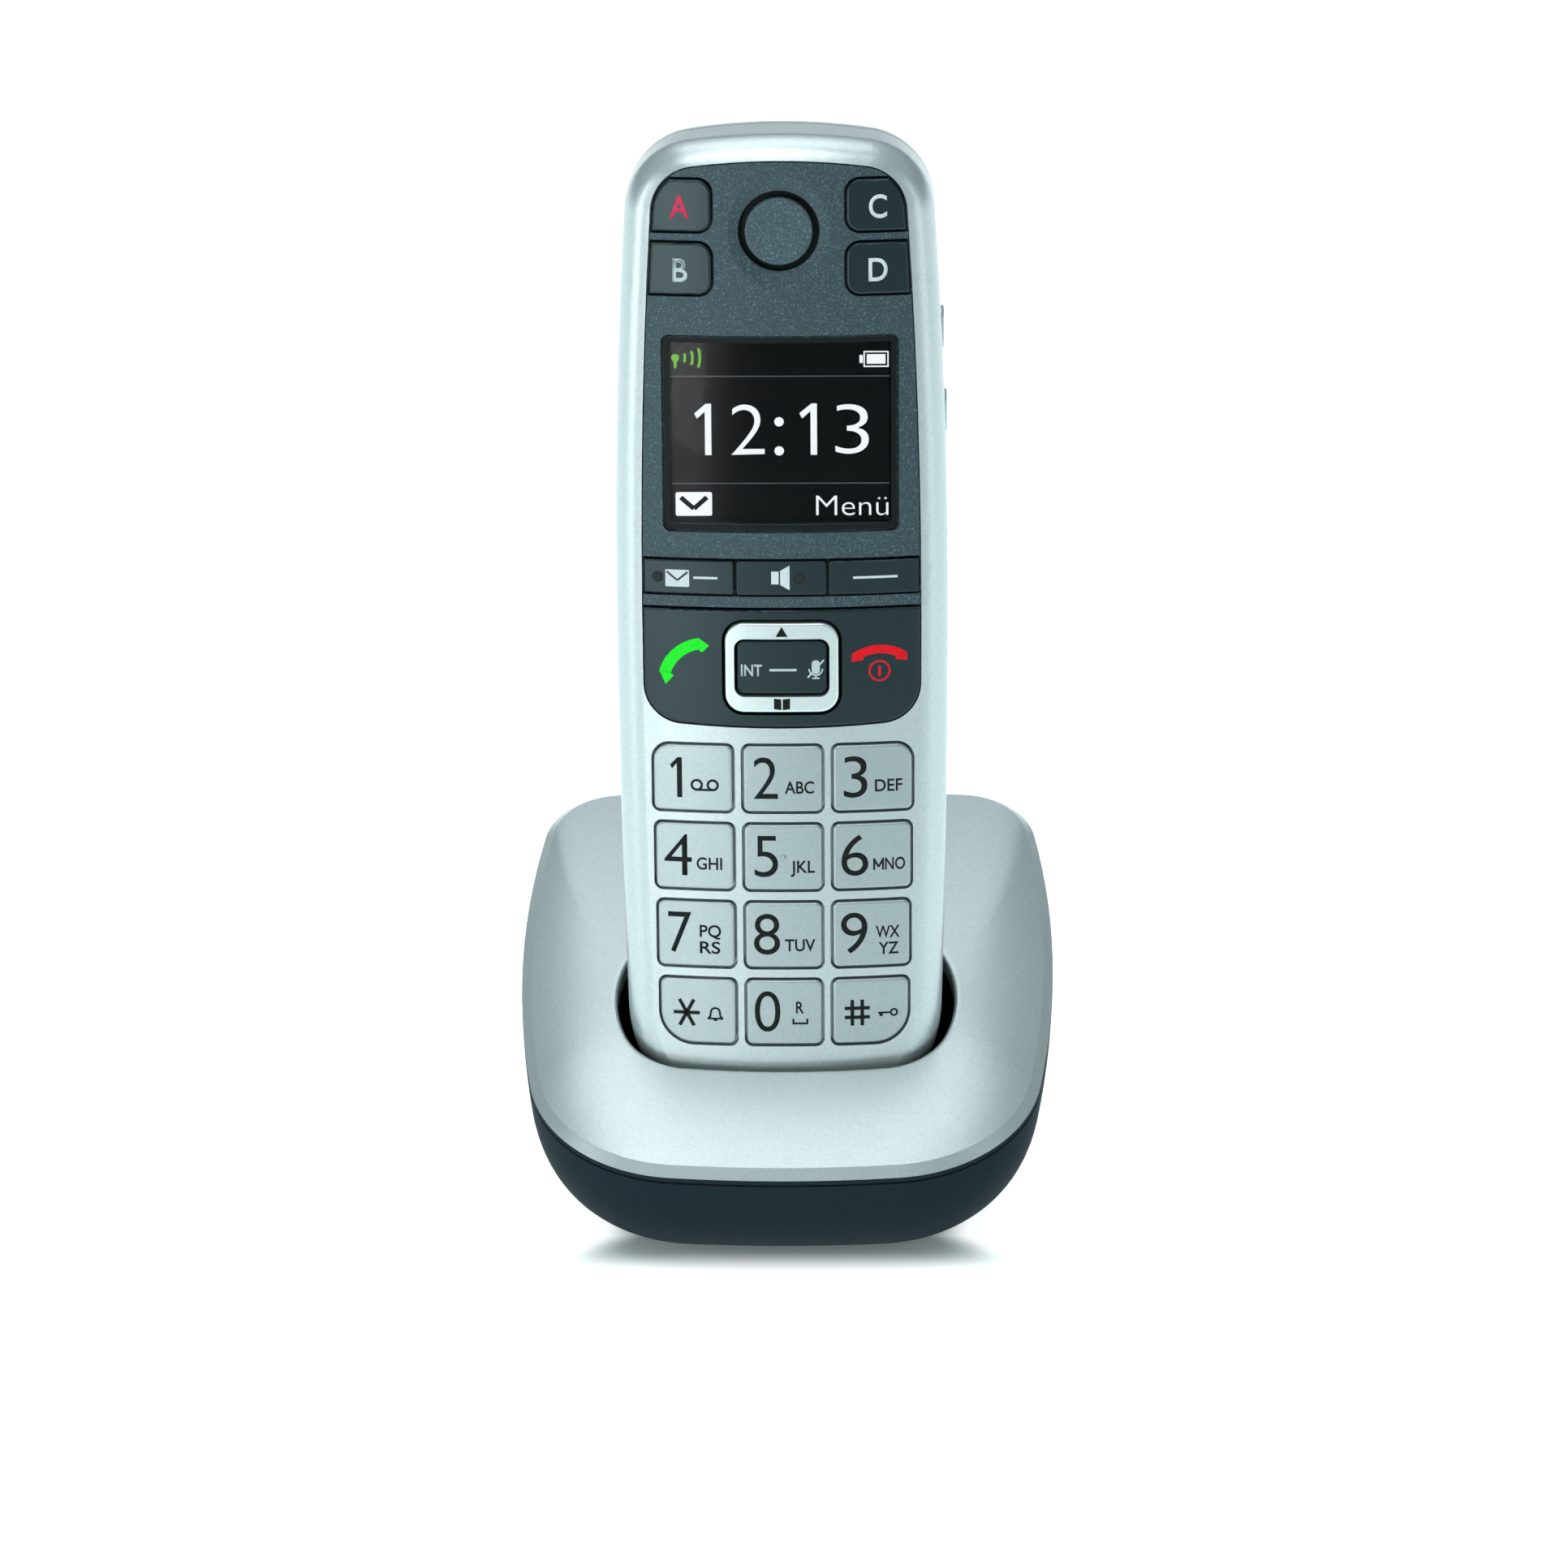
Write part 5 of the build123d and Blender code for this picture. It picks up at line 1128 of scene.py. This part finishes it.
@dataclass
class Studio:
    """Floor, light and camera."""

    azimuth: float = -1.283
    elevation: float = 30.063
    roll: float = -0.757
    distance: float = 871.0
    aim: tuple[float, float, float] = (0.006, -5.0, 66.23)
    lens: float = 132.09
    sensor: float = 36.0
    floor_half: float = 6.0
    floor_tones: tuple[Colour, Colour] = ((0.72, 0.84, 0.845), (0.74, 0.86, 0.865))
    sky_low: float = 0.28
    sky_high: float = 0.52
    sky_reach: float = 0.7
    sky_colour: Colour = (0.80, 0.95, 1.0)
    # Size, edge, corners and waist of the painted shadow patch under the base, and the floor's glow inside
    # and outside it.
    painted_shadow_size: Point = (37.5, 37.3)
    shadow_reach: tuple[float, float] = (0.88, 1.07)
    shadow_corner: float = 0.3
    painted_shadow_waist: tuple[float, float] = (0.78, 0.30)
    glow_round_painted_shadow: tuple[float, float] = (0.05, 0.85)
    lamps: tuple[Softbox, ...] = (
        Softbox("key_light", (-0.40, -1.02, 0.28), 0.26, 0.30, 2.1),
        Softbox("left_light", (-1.0, -0.5, 0.30), 0.4, 0.7, 2.4),
        Softbox("right_light", (1.0, -0.5, 0.30), 0.4, 0.7, 1.0),
        Softbox("rear_light", (-0.05, 0.35, 1.05), 0.7, 0.6, 2.4),
        Softbox("back_light", (-0.1, 0.95, 1.0), 0.8, 0.5, 1.0),
        Softbox("top_light", (-0.1, -0.35, 1.15), 0.7, 0.6, 4.5),
    )

    def build(self) -> None:
        """Set up floor, world, lamps and camera."""
        self.world()
        self.floor()
        for lamp in self.lamps:
            self.lamp(lamp)
        self.camera()

    def world(self) -> None:
        """Soft light from all round that changes from the horizon to the top."""
        world = bpy.data.worlds.new("studio")
        bpy.context.scene.world = world
        world.use_nodes = True
        tree = world.node_tree
        back = tree.nodes["Background"]
        back.inputs["Color"].default_value = (*self.sky_colour, 1.0)
        split = tree.nodes.new("ShaderNodeSeparateXYZ")
        tree.links.new(tree.nodes.new("ShaderNodeTexCoord").outputs["Generated"], split.inputs["Vector"])
        rise = tree.nodes.new("ShaderNodeMapRange")
        rise.interpolation_type = "SMOOTHSTEP"
        rise.inputs["From Max"].default_value = self.sky_reach
        rise.inputs["To Min"].default_value = self.sky_low
        rise.inputs["To Max"].default_value = self.sky_high
        tree.links.new(split.outputs["Z"], rise.inputs["Value"])
        tree.links.new(rise.outputs["Result"], back.inputs["Strength"])

    def seen_ray(self, tree: Tree) -> Socket:
        """One for rays from the camera and for mirrored or refracted ones, zero for light on the object.

        Args:
            tree: node tree that gets the nodes.

        Returns:
            The value socket.
        """
        path = tree.nodes.new("ShaderNodeLightPath")
        seen = path.outputs["Is Camera Ray"]
        for label in ("Is Glossy Ray", "Is Transmission Ray"):
            either = tree.nodes.new("ShaderNodeMath")
            either.operation = "MAXIMUM"
            tree.links.new(seen, either.inputs[0])
            tree.links.new(path.outputs[label], either.inputs[1])
            seen = either.outputs[0]
        return seen

    def floor(self) -> None:
        """Large pale floor that is white away from the phone; under the base its glow is held low in a shaped
        patch, so the shadow there is partly the lamps' shadow and partly painted shadow.
        """
        mesh = bmesh.new()
        bmesh.ops.create_grid(mesh, x_segments=1, y_segments=1, size=self.floor_half)
        data = bpy.data.meshes.new("floor")
        mesh.to_mesh(data)
        mesh.free()
        floor = bpy.data.objects.new("floor", data)
        bpy.context.scene.collection.objects.link(floor)
        recipe = Recipe("floor_with_painted_shadow")
        tree = recipe.tree
        dust = recipe.group("dust", 20.0).outputs["Amount"]
        recipe.feed("Base Color", recipe.tones(dust, *self.floor_tones))
        recipe.set(Roughness=0.9, Specular_IOR_Level=0.0)
        # Painted shadow: the glow for seen rays stays low in a rounded patch around the base that narrows at
        # its waist.
        share = recipe.node("VectorMath", "DIVIDE")
        share.inputs[1].default_value = (self.painted_shadow_size[0] * MM, self.painted_shadow_size[1] * MM, 1.0)
        recipe.link(recipe.place, share.inputs[0])
        sides = recipe.node("VectorMath", "ABSOLUTE")
        recipe.link(share.outputs["Vector"], sides.inputs[0])
        split = recipe.node("SeparateXYZ")
        recipe.link(sides.outputs["Vector"], split.inputs["Vector"])
        away = recipe.node("Math", "SMOOTH_MAX")
        away.inputs[2].default_value = self.shadow_corner
        painted_shadow_waist = recipe.node("MapRange")
        painted_shadow_waist.inputs["From Min"].default_value, painted_shadow_waist.inputs["To Min"].default_value = self.painted_shadow_waist
        painted_shadow_waist.inputs["To Max"].default_value = 0.0
        recipe.link(split.outputs["Y"], painted_shadow_waist.inputs["Value"])
        across = recipe.node("Math", "ADD")
        recipe.link(split.outputs["X"], across.inputs[0])
        recipe.link(painted_shadow_waist.outputs["Result"], across.inputs[1])
        recipe.link(across.outputs["Value"], away.inputs[0])
        recipe.link(split.outputs["Y"], away.inputs[1])
        glow = recipe.node("MapRange")
        glow.interpolation_type = "SMOOTHSTEP"
        glow.inputs["From Min"].default_value, glow.inputs["From Max"].default_value = self.shadow_reach
        glow.inputs["To Min"].default_value, glow.inputs["To Max"].default_value = self.glow_round_painted_shadow
        recipe.link(away.outputs["Value"], glow.inputs["Value"])
        both = recipe.node("Math", "MULTIPLY")
        recipe.link(glow.outputs["Result"], both.inputs[0])
        recipe.link(self.seen_ray(tree), both.inputs[1])
        recipe.feed("Emission Strength", both.outputs[0])
        recipe.shader.inputs["Emission Color"].default_value = (1.0, 1.0, 1.0, 1.0)
        data.materials.append(recipe.material)

    def lamp(self, softbox: Softbox) -> None:
        """Soft light that faces the phone and isn't seen itself.

        Args:
            softbox: the lamp to set up.
        """
        light = bpy.data.lights.new(softbox.name, "AREA")
        light.shape = "RECTANGLE"
        light.size, light.size_y = softbox.width, softbox.height
        light.energy = softbox.power
        lamp = bpy.data.objects.new(softbox.name, light)
        place = Vector(softbox.place)
        turn = (Vector(self.aim) * MM - place).to_track_quat("-Z", "Y")
        lamp.matrix_world = Matrix.Translation(place) @ turn.to_matrix().to_4x4()
        lamp.visible_camera = False
        bpy.context.scene.collection.objects.link(lamp)

    def camera(self) -> None:
        """Camera at the photograph's place."""
        turn, rise, roll = radians(self.azimuth), radians(self.elevation), radians(self.roll)
        ahead = Vector((sin(turn) * cos(rise), cos(turn) * cos(rise), -sin(rise)))
        level = Vector((cos(turn), -sin(turn), 0.0))
        above = level.cross(ahead)
        right = level * cos(roll) + above * sin(roll)
        upward = above * cos(roll) - level * sin(roll)
        data = bpy.data.cameras.new("camera")
        data.lens = self.lens
        data.sensor_fit = "HORIZONTAL"
        data.sensor_width = self.sensor
        data.clip_start = 0.01
        camera = bpy.data.objects.new("camera", data)
        turned = Matrix((right, upward, -ahead)).transposed().to_4x4()
        camera.matrix_world = Matrix.Translation((Vector(self.aim) - ahead * self.distance) * MM) @ turned
        bpy.context.scene.collection.objects.link(camera)
        bpy.context.scene.camera = camera


def main() -> None:
    """Build the classes in order."""
    logging.basicConfig(level=logging.INFO, format="%(message)s")
    bpy.context.scene.view_settings.view_transform = "Standard"
    for group in (Shell(), NumberPad(), Panel(), Display(), Base()):
        group.dress()
        group.build()
    Studio().build()


if __name__ == "__main__":
    main()
